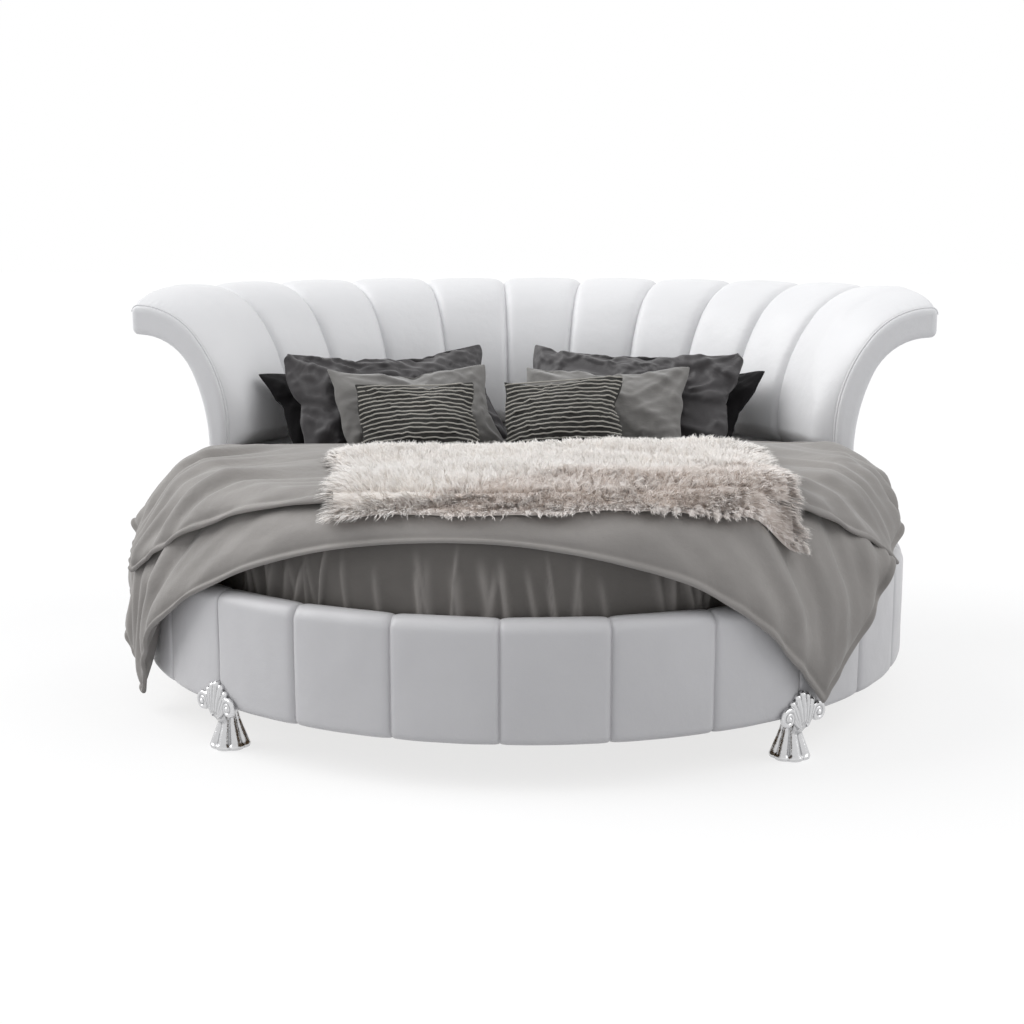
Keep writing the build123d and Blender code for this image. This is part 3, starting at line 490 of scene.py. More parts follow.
def headboard_padding():
    """The channels: each point finds its depth, then its place on the line of that depth."""
    channels = len(channel_seams) - 1
    deepest = 80  # the deepest line, in whole millimetres
    inner = [(1.316, padding_seam), (1.316, 1.104), (1.306, 1.106)]
    inner += flare_line(front_flare, 0.001, 5, 5)[::-1]
    shapes = [padding_line(depth * 0.001) for depth in range(deepest + 1)]
    profile = padding_line(0.060) + inner
    bm = revolved(profile, -headboard_spread, 2 * headboard_spread, channels * steps_per_channel)
    bm.verts.ensure_lookup_table()
    for vertex in bm.verts:
        ring, corner = divmod(vertex.index, len(profile))
        channel, step = divmod(ring, steps_per_channel)
        if channel == channels:
            channel, step = channels - 1, steps_per_channel
        share = crowded(step / steps_per_channel, 0.90)
        low, high = channel_seams[channel], channel_seams[channel + 1]
        bearing = low + share * (high - low)
        radius = vertex.co.xy.length
        height = vertex.co.z
        away = max(0, min(share, 1 - share)) * math.radians(high - low) * radius
        at_end = (channel == 0 and share < 0.5) or (channel == channels - 1 and share >= 0.5)
        crown = 0.058 + 0.004 * (1 - abs(2 * share - 1) ** 2)
        if at_end:
            roll_width = 0.060 + 0.270 * soft_step((height - 0.76) / 0.34)
            from_end = min(1, away / roll_width)
            depth = 0.004 + (crown - 0.004) * (1 - (1 - from_end) ** 2.2) ** 0.7
            gathered = soft_step((radius - 1.13) / 0.10)
            gathered *= math.exp(-(((away - 0.020) / 0.014) ** 2))
            depth += 0.0016 * gathered * math.sin(radius * 260)
        else:
            depth = crown - 0.017 * math.exp(-((away / 0.011) ** 1.1))
            depth -= 0.006 * math.exp(-away / 0.05)
        soft = Vector((bearing * 0.12, height * 4.0, radius * 4.0))
        depth += 0.0018 * noise.noise(soft)
        pucker = noise.noise(Vector((bearing * 0.5, height * 34, radius * 34)))
        depth += 0.0016 * pucker * math.exp(-away / 0.03)
        if corner < len(shapes[0]):
            scaled = max(0, min(deepest - 0.001, depth * 1000))
            below = int(scaled)
            part = scaled - below
            one, two = shapes[below][corner], shapes[below + 1][corner]
            radius = one[0] + (two[0] - one[0]) * part
            height = one[1] + (two[1] - one[1]) * part
        vertex.co = round_at(180 + bearing, radius, height)
    piece = new_piece("headboard_padding", bm, headboard_leather)
    rounded(piece)
    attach(piece, "bed")
    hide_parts("headboard_channels")


headboard_padding()
dress("headboard_front_skin", headboard_leather)


# Headboard back: the same leather drawn plain over thin foam and boards, in five gores with sewn
# joins, round the underside of the nose and up to the seam on the rim.
def back_line():
    """The back's outer line: up from its foot, along the flare and round under the nose."""
    under_nose = 1.020
    nose = arc((rim_radius - nose_round, under_nose + nose_round), nose_round, -90, 0, 6)
    rising = [(back_radius, headboard_foot + 0.042 * n) for n in range(9)]
    bend = flare_line(back_flare, 0.0, 12, 12)
    return rising + bend + nose + [(rim_radius, back_seam)]


def headboard_back():
    outer = back_line()
    inner = [(1.318, back_seam), (1.316, 1.045), *flare_line(back_flare, 0.009, 6, 6)[::-1]]
    profile = [*outer, *inner, (1.059, headboard_foot)]
    gores, steps = 5, 30
    bm = revolved(profile, 180 - headboard_spread, 2 * headboard_spread, gores * steps)
    bm.verts.ensure_lookup_table()
    gore_angle = 2 * headboard_spread / gores
    for vertex in bm.verts:
        ring, corner = divmod(vertex.index, len(profile))
        gore, step = divmod(ring, steps)
        share = crowded(step / steps, 0.93)
        bearing = 180 - headboard_spread + (gore + share) * gore_angle
        radius = vertex.co.xy.length
        away = max(0, min(share, 1 - share)) * math.radians(gore_angle) * radius
        inside = 0 < ring < gores * steps
        dip = 0.005 * math.exp(-((away / 0.006) ** 1.4)) if inside else 0.0
        if corner < len(outer):
            ripple = 0.0012 * noise.noise(Vector((bearing * 0.1, vertex.co.z * 5, 9.0)))
            radius -= dip - ripple
        vertex.co = round_at(bearing, radius, vertex.co.z)
    piece = new_piece("headboard_back", bm, headboard_leather)
    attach(piece, "bed")
    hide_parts("headboard_back_cover")


headboard_back()


# Headboard ends: a board with thin foam on it closes each end, cut to the flare's outline and
# puffed out a little. A piping of the same leather runs along its front edge.
def tube(bm, path, radii, sides):
    """Adds a round tube with closed ends along a path, its radius given at each point."""
    line = bpy.data.curves.new("tube", "CURVE")
    line.dimensions = "3D"
    line.bevel_depth = 1.0
    line.bevel_resolution = max(0, sides // 4 - 1)
    line.use_fill_caps = True
    spline = line.splines.new("POLY")
    spline.points.add(len(path) - 1)
    for point, place, radius in zip(spline.points, path, radii):
        point.co = (*place, 1.0)
        point.radius = radius
    holder = bpy.data.objects.new("tube", line)
    mesh = holder.to_mesh()
    bm.from_mesh(mesh)
    holder.to_mesh_clear()
    bpy.data.objects.remove(holder)
    bpy.data.curves.remove(line)


def headboard_end(name, bearing, side):
    """One padded end: a flat cover cut to the outline, puffed out in four steps, and its piping."""
    nose = arc((1.308, 1.042), nose_round, 0, -90, 4)
    front = [(boards_radius, headboard_foot), (boards_radius, 0.50)]
    front += flare_line(front_flare, 0.0, 12, 10)
    back = flare_line(back_flare, 0.0, 9, 9)[::-1]
    back += [(back_radius, 0.50), (back_radius, headboard_foot)]
    edge = front + arc((1.310, 1.093), 0.020, 90, 0, 4)[1:] + nose[:-1] + back
    angle = math.radians(bearing)
    outwards = Vector((math.cos(angle), math.sin(angle), 0)) * side
    bm = bmesh.new()
    face = bm.faces.new([bm.verts.new(round_at(bearing, *corner)) for corner in edge])
    grown = bmesh.ops.extrude_face_region(bm, geom=[face], use_keep_orig=True)["geom"]
    moved = [item for item in grown if isinstance(item, bmesh.types.BMVert)]
    cover = [item for item in grown if isinstance(item, bmesh.types.BMFace)]
    bmesh.ops.translate(bm, vec=outwards * 0.005, verts=moved)
    bmesh.ops.recalc_face_normals(bm, faces=bm.faces)
    for inward, rise in ((0.0012, 0.0022), (0.003, 0.0028), (0.006, 0.0026), (0.010, 0.0014)):
        bmesh.ops.inset_region(
            bm, faces=cover, thickness=inward, depth=rise, use_even_offset=True, use_boundary=True
        )
    line = [(boards_radius - 0.002, 0.640 + 0.02 * step) for step in range(4)]
    line += flare_line(front_flare, 0.002, 24, 24) + arc((1.310, 1.093), 0.022, 90, 0, 6)[1:]
    path = [round_at(bearing, *corner) + outwards * 0.001 for corner in line]
    tube(bm, path, [0.0036] * len(path), 12)
    piece = new_piece(name, bm, headboard_leather)
    for polygon in piece.data.polygons:
        polygon.use_smooth = len(polygon.vertices) < 9
    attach(piece, "bed")
    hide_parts(name.replace("_panel", "_end"))


headboard_end("headboard_right_panel", 180 - headboard_spread, -1)
headboard_end("headboard_left_panel", 180 + headboard_spread, 1)

# Feet: polished castings, a pleated bell that stands on the floor, a narrow neck, and on the
# base's face a fan of five ridges between two scrolls. All four come from one pattern.
silver = finish("polished_casting", (0.60, 0.60, 0.61), 0.20, Metallic=1.0)
# The casting's colour runs with the surface's pointiness, from dark in the hollows to pale on the
# ridges: painted shade in the hollows and a painted highlight on the ridges.
foot_shape = silver.node_tree.nodes.new("ShaderNodeNewGeometry")
painted_shade_and_highlight = spread(silver, foot_shape.outputs["Pointiness"], 0.0, 1.0, 0.42, 0.56)
paint(silver, blend_colours(silver, painted_shade_and_highlight, (0.16, 0.16, 0.165), (0.86, 0.86, 0.87)))
dull(silver, spread(silver, cloud(silver, coordinates(silver), 90.0, 4.0), 0.14, 0.30))
relief(silver, cloud(silver, coordinates(silver), 160.0, 3.0), 0.0006)

foot_radius = 1.120
plume_out = 0.041
plume_foot = 0.070
neck_reach = 0.016
scroll_across = 0.056
scroll_height = 0.1235
scroll_radius = 0.024
bell_line = [
    (0.0, 0.047), (0.002, 0.053), (0.010, 0.055), (0.018, 0.052), (0.034, 0.046),
    (0.056, 0.037), (0.078, 0.029), (0.098, 0.024), (0.116, 0.023),
]


def turned(profile, steps, weld):
    """A turned body: a line of radius and height spun once round, points within weld joined."""
    bm = bmesh.new()
    corners = [bm.verts.new((radius, 0, height)) for radius, height in profile]
    edges = [bm.edges.new(pair) for pair in zip(corners, corners[1:])]
    bmesh.ops.spin(
        bm, geom=corners + edges, axis=(0, 0, 1), cent=(0, 0, 0), angle=math.radians(360),
        steps=steps, use_merge=True,
    )
    bmesh.ops.remove_doubles(bm, verts=bm.verts, dist=weld)
    return bm


def foot_mesh():
    """The foot's parts, each closed and pushed into its neighbours: they are cast as one after."""
    outline = [(0, 0), *[(radius, height) for height, radius in bell_line], (0, bell_line[-1][0])]
    bm = turned(outline, 108, 0.00005)
    for vertex in bm.verts:
        angle = math.atan2(vertex.co.x, vertex.co.y)
        pleat = abs(math.sin(angle * 3.5)) ** 0.6
        depth = 0.34 if vertex.co.z > 0.014 else 0.14
        factor = 1 - depth * (1 - pleat)
        vertex.co.x *= factor
        vertex.co.y *= factor
    ridges = [(0.0, 0.186, 0.0125)]
    for side in (-1, 1):
        ridges += [(side * 0.45, 0.179, 0.0115), (side * 0.90, 0.164, 0.0105)]
    for lean, top, thickness in ridges:
        path, radii = [], []
        for step in range(13):
            share = step / 12
            height = plume_foot + (top - thickness * 0.6 - plume_foot) * share
            out = neck_reach + (plume_out - neck_reach) * min(1, share / 0.42) ** 0.8
            out -= 0.004 * share**3
            across = lean * (0.010 + 0.030 * share**1.6)
            path.append(Vector((across, out, height)))
            swell = math.sin(math.pi * min(1, 0.15 + share * 0.62))
            radii.append(thickness * (0.55 + 0.45 * swell))
        tube(bm, path, radii, 14)
        bmesh.ops.create_icosphere(
            bm, subdivisions=3, radius=radii[-1] * 1.02, matrix=Matrix.Translation(path[-1])
        )
    for side in (-1, 1):
        path, radii = [], []
        for step in range(40):
            share = step / 39
            if share < 0.25:
                rise = share / 0.25
                stem = side * (0.010 + 0.029 * rise)
                path.append(Vector((stem, plume_out, 0.096 + 0.044 * rise**1.5)))
            else:
                curl = (share - 0.25) / 0.75
                angle = math.radians(135 - 560 * curl)
                radius = scroll_radius * (1 - 0.78 * curl)
                across = side * (scroll_across + radius * math.cos(angle))
                height = scroll_height + radius * math.sin(angle)
                path.append(Vector((across, plume_out + 0.004 * curl, height)))
            radii.append(0.0095 - 0.0048 * share)
        tube(bm, path, radii, 12)
        eye = Matrix.Translation((side * scroll_across, plume_out + 0.005, scroll_height))
        bmesh.ops.create_icosphere(bm, subdivisions=3, radius=0.0075, matrix=eye)
        back = Matrix.Translation((side * scroll_across, plume_out - 0.003, scroll_height))
        back = back @ Matrix.Diagonal((1, 0.3, 1, 1))
        bmesh.ops.create_icosphere(bm, subdivisions=3, radius=0.025, matrix=back)
    plate = Matrix.Translation((0, 0, 0.1105))
    bmesh.ops.create_cone(
        bm, cap_ends=True, segments=40, radius1=0.026, radius2=0.026, depth=0.007, matrix=plate
    )
    bmesh.ops.recalc_face_normals(bm, faces=bm.faces)
    return bm


def cast(piece, grain):
    """Melts the parts of a piece into one skin, as a casting is, and smooths it a little."""
    melt = piece.modifiers.new("melt", "REMESH")
    melt.mode = "VOXEL"
    melt.voxel_size = grain
    melt.use_smooth_shade = True
    settle = piece.modifiers.new("settle", "SMOOTH")
    settle.factor = 0.5
    settle.iterations = 3
    graph = bpy.context.evaluated_depsgraph_get()
    mesh = bpy.data.meshes.new_from_object(piece.evaluated_get(graph))
    piece.modifiers.clear()
    piece.data = mesh


foot_pattern = new_piece("foot_pattern", foot_mesh(), silver)
cast(foot_pattern, grain=0.0016)
foot_bearings = {
    "front_right": 3 * panel_angle,
    "rear_right": 10 * panel_angle,
    "rear_left": 16 * panel_angle,
    "front_left": 23 * panel_angle,
}
for place, bearing in foot_bearings.items():
    bm = bmesh.new()
    bm.from_mesh(foot_pattern.data)
    spot = round_at(bearing, foot_radius, 0)
    turn = Matrix.Translation(spot) @ Matrix.Rotation(math.radians(bearing + 180), 4, "Z")
    bmesh.ops.transform(bm, matrix=turn, verts=bm.verts)
    foot = new_piece(f"{place}_cast_foot", bm, silver)
    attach(foot, "bed")
    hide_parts(f"{place}_foot")
bpy.data.objects.remove(foot_pattern)


# Mattress: a round one of springs and foam, hidden under the sheet and the duvet. Its ticking
# is quilted in cells by fine stitched lines.
ticking = finish("quilted_ticking", (0.80, 0.79, 0.76), 0.85)
ticking_place = coordinates(ticking)
ticking_clouds = cloud(ticking, ticking_place, 8.0)
paint(ticking, blend_colours(ticking, ticking_clouds, (0.76, 0.75, 0.71), (0.84, 0.83, 0.80)))
quilting = ticking.node_tree.nodes.new("ShaderNodeTexVoronoi")
quilting.feature = "DISTANCE_TO_EDGE"
quilting.inputs["Scale"].default_value = 12.0
ticking.node_tree.links.new(ticking_place, quilting.inputs["Vector"])
relief(ticking, quilting.outputs["Distance"], 0.004)
dress("mattress", ticking)

# Fitted sheet: dark warm grey cotton, pulled over the mattress and gathered by elastic that
# runs under its edge, so that its side hangs in soft upright gathers.
mattress_forward = 0.075
sheet_radius = 1.0033
sheet_top = 0.6383
sheet_foot = 0.403
sheet_round = 0.036
gather_count = 150
bin_angle = 2


def woven(name, light, shade, roughness, depth, **sockets):
    """Cloth: cloudy colour, fine crossing threads and a soft nap."""
    material = finish(name, light, roughness, Specular_IOR_Level=0.25, **sockets)
    place = coordinates(material)
    tone = spread(material, cloud(material, place, 5.0, 6.0), 0.0, 1.0)
    paint(material, blend_colours(material, tone, light, shade))
    for stretch in ((40.0, 420.0, 420.0), (420.0, 40.0, 420.0)):
        threads = cloud(material, coordinates(material, stretch), 1.0, 2.0)
        relief(material, threads, depth)
    relief(material, cloud(material, place, 42.0, 5.0), depth * 5)
    return material


def attribute(material, name):
    """A number that the mesh holds at each point, as a socket."""
    node = material.node_tree.nodes.new("ShaderNodeAttribute")
    node.attribute_name = name
    return node.outputs["Fac"]


sheet_cotton = woven("sheet_cotton", (0.140, 0.130, 0.121), (0.105, 0.098, 0.091), 0.55, 0.0004)
sheet_shader = sheet_cotton.node_tree.nodes["Principled BSDF"]
sheet_grey = sheet_shader.inputs["Base Color"].links[0].from_socket
# The ridges of the strongest gathers are painted paler than the grey cloth: a painted highlight
# along them.
painted_gather_highlight = (0.300, 0.282, 0.266)
painted_highlight_share = attribute(sheet_cotton, "gather")
paint(sheet_cotton, blend_colours(sheet_cotton, painted_highlight_share, sheet_grey, painted_gather_highlight))


def random_gathers():
    """Gathers, each with its bearing, lean, width, strength and start, listed by bin of bearing."""
    rule = random.Random(11)
    bins = [[] for _ in range(360 // bin_angle)]
    for _ in range(gather_count):
        bearing = rule.uniform(0, 360)
        fold = (
            bearing, rule.gauss(0, 7.0), rule.uniform(0.30, 0.75), rule.uniform(0.35, 1.0),
            rule.uniform(0.05, 0.45),
        )
        for near in range(-2, 3):
            bins[(int(bearing / bin_angle) + near) % len(bins)].append(fold)
    return bins


def streak_at(bearing, hang, gathers):
    """How strongly the strongest gather near a bearing stands out at a share of the drop."""
    streak = 0
    for middle, lean, width, strength, start in gathers:
        away = (bearing - middle - lean * (hang - 0.5) * 0.35 + 180) % 360 - 180
        if abs(away) < 3 * width:
            rise = soft_step((hang - start) / 0.35) * math.exp(-((away / width) ** 2))
            streak = max(streak, strength * rise)
    return streak


def fitted_sheet():
    rim_foot = sheet_top - sheet_round
    corner = arc((sheet_radius - sheet_round, rim_foot), sheet_round, 0, 90, 8)
    side = [(sheet_radius, sheet_foot + (rim_foot - sheet_foot) * n / 16) for n in range(16)]
    flat = [(radius, sheet_top) for radius in (0.90, 0.80, 0.60, 0.30, 0.0)]
    tucked = [(sheet_radius - 0.004, sheet_foot - 0.0015)]
    bm = turned(tucked + side + corner + flat, 1440, 0.0002)
    painted_highlight_of = bm.verts.layers.float.new("gather")
    bins = random_gathers()
    for vertex in bm.verts:
        radius = vertex.co.xy.length
        turn = math.atan2(vertex.co.x, -vertex.co.y)
        hang = ramp(sheet_top - vertex.co.z, 0, sheet_top - sheet_foot)
        broad = noise.noise(Vector((turn * radius * 5, vertex.co.z * 3.5, 5.0)))
        share = soft_step(hang / 0.6) * (0.6 + 0.4 * math.sin(math.pi * min(1, hang)))
        bearing = math.degrees(turn) % 360
        near = bins[int(bearing / bin_angle) % len(bins)] if radius > 0.97 else []
        streak = streak_at(bearing, hang, near)
        gather = 0.008 * (0.5 + broad) + 0.016 * streak
        # How much painted highlight this point of a gather's ridge gets.
        vertex[painted_highlight_of] = streak * 0.75
        out = 1 + gather * share / max(radius, 0.5) if radius > 0.9 else 1
        sag = noise.noise(Vector((vertex.co.x * 4, vertex.co.y * 4, 2.0))) * 0.0012
        vertex.co.x *= out
        vertex.co.y = vertex.co.y * out - mattress_forward
        vertex.co.z += 0.0012 + sag if radius < 0.97 else 0
    bmesh.ops.recalc_face_normals(bm, faces=bm.faces)
    piece = new_piece("gathered_sheet", bm, sheet_cotton)
    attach(piece, "bed")
    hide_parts("fitted_sheet")


fitted_sheet()


# Duvet: a soft cotton duvet about 2.5 m square, folded once, so that two layers cross the bed
# and their corners hang as points over both sides. Both layers are draped by simulation.
def collider(name, profile, forward):
    """A turned body that the bedding falls on."""
    bm = turned(profile, 96, 0.0002)
    bmesh.ops.translate(bm, vec=(0, -forward, 0), verts=bm.verts)
    bmesh.ops.recalc_face_normals(bm, faces=bm.faces)
    return new_piece(name, bm)


def make_solid_for_cloth(piece, thickness):
    piece.modifiers.new("collision", "COLLISION")
    piece.collision.thickness_outer = thickness
    piece.collision.cloth_friction = 12.0


def run_cloth(piece, frames, gap, **options):
    """Runs a cloth simulation to its last frame and keeps the form it ends in."""
    cloth = piece.modifiers.new("cloth", "CLOTH")
    cloth.settings.quality = 5
    cloth.settings.effector_weights.gravity = options.pop("weight", 1.0)
    for option, value in options.items():
        setattr(cloth.settings, option, value)
    cloth.collision_settings.distance_min = gap
    cloth.collision_settings.collision_quality = 2
    cloth.point_cache.frame_start = 1
    cloth.point_cache.frame_end = frames
    scene = bpy.context.scene
    for frame_number in range(1, frames + 1):
        scene.frame_set(frame_number)
    graph = bpy.context.evaluated_depsgraph_get()
    mesh = bpy.data.meshes.new_from_object(piece.evaluated_get(graph))
    piece.modifiers.clear()
    piece.data = mesh
    scene.frame_set(1)


def add_grid(bm, points):
    """Adds a grid to a bmesh and lays it over rows of points."""
    last_row, last_column = len(points) - 1, len(points[0]) - 1
    made = bmesh.ops.create_grid(bm, x_segments=last_column, y_segments=last_row, size=0.5)
    for vertex in made["verts"]:
        column = round((vertex.co.x + 0.5) * last_column)
        row = round((vertex.co.y + 0.5) * last_row)
        vertex.co = points[row][column]
    return made["verts"]


def grid_mesh(points):
    bm = bmesh.new()
    add_grid(bm, points)
    return bm


def cubic(a, b, c, d, share):
    """A smooth curve through four neighbours, between the middle two."""
    return 0.5 * (
        2 * b + (c - a) * share + (2 * a - 5 * b + 4 * c - d) * share**2
        + (3 * b - a - 3 * c + d) * share**3
    )


def along_row(row, place):
    """The point at a fractional place along a row of points."""
    low = min(len(row) - 2, int(place))
    ends = [row[max(0, low - 1)], row[low], row[low + 1], row[min(len(row) - 1, low + 2)]]
    return cubic(*ends, place - low)


duvet_loft = 0.033
cloth_gap = 0.017
pressing_turns = 44
welt_width = 0.0145
filling_start = 0.018
stitch_half = 0.0012
hem_lines = [0.0, 0.0045, 0.010, welt_width, filling_start, 0.024, 0.034, 0.050]
finer = 0.7  # the sewn grid's cells, as a share of the draped grid's


def hem_places(count, size):
    """Fractional places across a draped grid for the sewn one, with the hem's lines beside both
    edges. The size is in metres."""
    cell = size / (count - 1)
    middle_start = hem_lines[-1]
    steps = round((size - 2 * middle_start) / (cell * finer))
    middle = [middle_start + (size - 2 * middle_start) * n / steps for n in range(steps + 1)]
    places = [*hem_lines[:-1], *middle, *[size - line for line in reversed(hem_lines[:-1])]]
    return [place / cell for place in places]


def loft_at(edge):
    """Half the duvet's thickness at a distance from its hem: welt, stitch line, filling."""
    if edge < welt_width:
        return 0.0035 + 0.0040 * math.sin(math.pi * min(1, edge / welt_width))
    if edge < filling_start:
        return stitch_half
    filled_share = min(1, (edge - filling_start) / 0.035) ** 0.5
    return stitch_half + (duvet_loft / 2 - stitch_half) * filled_share


duvet_cotton = woven(
    "duvet_cotton", (0.312, 0.295, 0.280), (0.250, 0.236, 0.223), 0.58, 0.0004,
    Sheen_Weight=0.3, Sheen_Roughness=0.4,
)

sheet_profile = [
    (0.0, 0.6395), (0.94, 0.6395), (0.985, 0.628), (1.006, 0.60), (1.050, 0.50), (1.062, 0.40)
]
base_profile_plain = [
    (1.08, 0.40), (1.095, 0.431), (1.14, 0.431), (1.155, 0.40), (1.157, 0.13), (1.13, 0.116)
]


def radius_at(profile, level):
    """A profile's widest radius at a level, or 0 where it has none."""
    widest = 0
    for (radius, height), (next_radius, next_height) in zip(profile, profile[1:]):
        low, high = min(height, next_height), max(height, next_height)
        if low < high and low <= level <= high:
            share = (level - height) / (next_height - height)
            widest = max(widest, radius + (next_radius - radius) * share)
    return widest


def clear_of_bed(point):
    """Moves a point of the duvet out of the mattress or the base, to the cloth's gap."""
    for profile, forward in ((sheet_profile, mattress_forward), (base_profile_plain, 0.0)):
        away = Vector((point.x, point.y + forward, 0))
        top = max(height for radius, height in profile) + cloth_gap
        rim = radius_at(profile, min(point.z, top - cloth_gap - 0.001))
        inside, under = rim + cloth_gap - away.length, top - point.z
        if rim > 0 and inside > 0 and under > 0:
            if under < inside:
                point.z = top
            else:
                point.x += away.x / away.length * inside
                point.y += away.y / away.length * inside


def clear_of_layer(point, below):
    """Lifts a point of the duvet off the layer below it, to the filling's thickness."""
    hit, normal, _, distance = below.find_nearest(point)
    rise = (point - hit).dot(normal)
    if abs(rise) < 2 * duvet_loft and rise < duvet_loft and distance < 0.1:
        point += normal * (duvet_loft - rise)


def pressed(grid, below):
    """Irons the ruffles out of a draped layer, row by row, and keeps it clear of what is below."""
    rows, columns = len(grid), len(grid[0])
    for turn in range(pressing_turns):
        smoother = []
        for row in grid:
            line = [row[0].copy()]
            for column in range(1, columns - 1):
                line.append(row[column].lerp((row[column - 1] + row[column + 1]) / 2, 0.6))
            line.append(row[-1].copy())
            smoother.append(line)
        if turn % 6 == 5:
            for row in range(1, rows - 1):
                for column in range(1, columns - 1):
                    near = (smoother[row - 1][column] + smoother[row + 1][column]) / 2
                    smoother[row][column] = smoother[row][column].lerp(near, 0.4)
        for line in smoother:
            for point in line:
                clear_of_bed(point)
                if below:
                    clear_of_layer(point, below)
        grid = smoother
    return grid


def draped(name, grid, below):
    """Drops a layer on the bed, its back edge pinned where it lies flat, and presses it."""
    rows, columns = len(grid), len(grid[0])
    piece = new_piece(name + "_cloth", grid_mesh(grid))
    pins = piece.vertex_groups.new(name="pins")
    for column in range(columns):
        if abs(grid[-1][column].x) < 0.85:
            pins.add([(rows - 1) * columns + column], 1.0, "ADD")
    run_cloth(
        piece, 48, cloth_gap, mass=0.25, tension_stiffness=28, compression_stiffness=22,
        shear_stiffness=12, bending_stiffness=6.0, air_damping=1.4, vertex_group_mass="pins",
        shrink_min=-0.02,
    )
    points = [vertex.co.copy() for vertex in piece.data.vertices]
    bpy.data.objects.remove(piece)
    return pressed([points[row * columns:(row + 1) * columns] for row in range(rows)], below)


def duvet_sides(grid, sizes, crease):
    """The two faces of a layer, as rows of points a filling apart, with its hem and its folds."""
    rows, columns = len(grid), len(grid[0])
    across = hem_places(columns, sizes[0])
    deep = hem_places(rows, sizes[1])
    wide = [[along_row(line, place) for place in across] for line in grid]
    fine = [
        [along_row([line[n] for line in wide], place) for n in range(len(across))]
        for place in deep
    ]
    top, bottom = [], []
    last_i, last_j = len(across) - 1, len(deep) - 1
    for j, line in enumerate(fine):
        top_row, bottom_row = [], []
        for i, point in enumerate(line):
            along = line[min(last_i, i + 1)] - line[max(0, i - 1)]
            over = fine[min(last_j, j + 1)][i] - fine[max(0, j - 1)][i]
            normal = along.cross(over).normalized()
            u = across[i] / (columns - 1) * sizes[0]
            v = deep[j] / (rows - 1) * sizes[1]
            edge = min(u, v, sizes[0] - u, sizes[1] - v)
            half = loft_at(edge)
            fold = crease(u / sizes[0], v / sizes[1], point)
            lifted = max(0, fold) * 0.8
            swell = (fold - lifted) * ramp(edge, 0.02, 0.06)
            top_row.append(point + normal * (half + lifted + swell))
            bottom_row.append(point - normal * (half - lifted - min(0, swell)))
        top.append(top_row)
        bottom.append(bottom_row)
    return top, bottom


def duvet_layer(name, corners, bulge, lift, crease, below=None):
    """One layer: laid out flat in plan, dropped on the bed, then given its thickness and hem."""
    front_left, front_right, back_right, back_left = [Vector(corner) for corner in corners]
    columns, rows = 100, 44
    grid = []
    for row in range(rows):
        v = row / (rows - 1)
        line = []
        for column in range(columns):
            u = column / (columns - 1)
            front = front_left.lerp(front_right, u) + Vector((0, -1)) * bulge(u)
            back = back_left.lerp(back_right, u)
            flat = front.lerp(back, v)
            ripple = noise.noise(Vector((flat.x * 3.0, flat.y * 3.0, lift * 50))) * 0.012
            line.append(Vector((flat.x, flat.y, lift + 0.012 + ripple)))
        grid.append(line)
    sizes = [
        (grid[0][0] - grid[0][-1]).length,
        ((grid[0][0] - grid[-1][0]).length + (grid[0][-1] - grid[-1][-1]).length) / 2,
    ]
    settled = draped(name, grid, below)
    top, bottom = duvet_sides(settled, sizes, crease)
    bm = bmesh.new()
    add_grid(bm, top)
    under = set(add_grid(bm, bottom))
    bmesh.ops.reverse_faces(bm, faces=[face for face in bm.faces if face.verts[0] in under])
    bmesh.ops.bridge_loops(bm, edges=[edge for edge in bm.edges if edge.is_boundary])
    bmesh.ops.recalc_face_normals(bm, faces=bm.faces)
    piece = new_piece(name, bm, duvet_cotton)
    rounded(piece)
    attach(piece, "bed")
    return piece, settled


def creases(tips, reach, strength):
    """Broad soft folds that run down to hanging corners, for a layer whose tips are given."""
    def crease(u, v, point):
        height = noise.noise(Vector((point.x * 2.2, point.y * 2.2, 3.0))) * 0.003
        for tip_u, tip_v in tips:
            across, deep = (u - tip_u) * 2.4, (v - tip_v) * 1.0
            distance = math.hypot(across, deep)
            angle = math.atan2(deep + 0.30, abs(across) + 0.35)
            broad = noise.noise(Vector((angle * 7, distance * 1.1, tip_u * 5 + 3.0)))
            lines = noise.noise(Vector((angle * 17, distance * 1.3, tip_u * 5 + 8.0)))
            fade = soft_step(1.25 * (1 - distance / reach)) * min(1, 0.25 + distance / 0.4)
            height += strength * fade * (broad + 0.85 * lines)
        return height
    return crease


def upward(bm):
    """Turns every face of a laid sheet so that the one at its middle looks up."""
    bmesh.ops.recalc_face_normals(bm, faces=bm.faces)
    if sum(face.normal.z for face in bm.faces) < 0:
        bmesh.ops.reverse_faces(bm, faces=bm.faces)
    return bm


def lower_bulge(u):
    """How far the lower layer's front edge bows out of the line between its two corners."""
    return 0.175 * math.sin(math.pi * u**0.9) ** 1.2


def upper_bulge(u):
    """As lower_bulge, for the upper layer."""
    return 0.375 * math.sin(math.pi * u**0.9)


front_tips = ((0.0, 0.0), (1.0, 0.0))
bodies = [
    collider("mattress_shape", sheet_profile, mattress_forward),
    collider("base_shape", base_profile_plain, 0.0),
]
for body in bodies:
    make_solid_for_cloth(body, thickness=0.003)

lower_layer, lower_grid = duvet_layer(
    "duvet_lower_layer", ((-1.47, -0.71), (1.09, -1.09), (1.05, 0.15), (-1.25, -0.04)),
    lower_bulge, lift=0.652, crease=creases(front_tips, reach=1.3, strength=0.040),
)
lower_shape = new_piece("lower_shape", grid_mesh(lower_grid))
make_solid_for_cloth(lower_shape, thickness=cloth_gap)
bodies.append(lower_shape)

upper_layer, _ = duvet_layer(
    "duvet_upper_layer", ((-1.20, -0.575), (1.13, -0.60), (1.12, 0.15), (-1.2, -0.05)),
    upper_bulge, lift=0.690, crease=creases(front_tips, reach=1.6, strength=0.038),
    below=BVHTree.FromBMesh(upward(grid_mesh(lower_grid))),
)
for body in bodies:
    bpy.data.objects.remove(body)
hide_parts("duvet")
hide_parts("duvet")

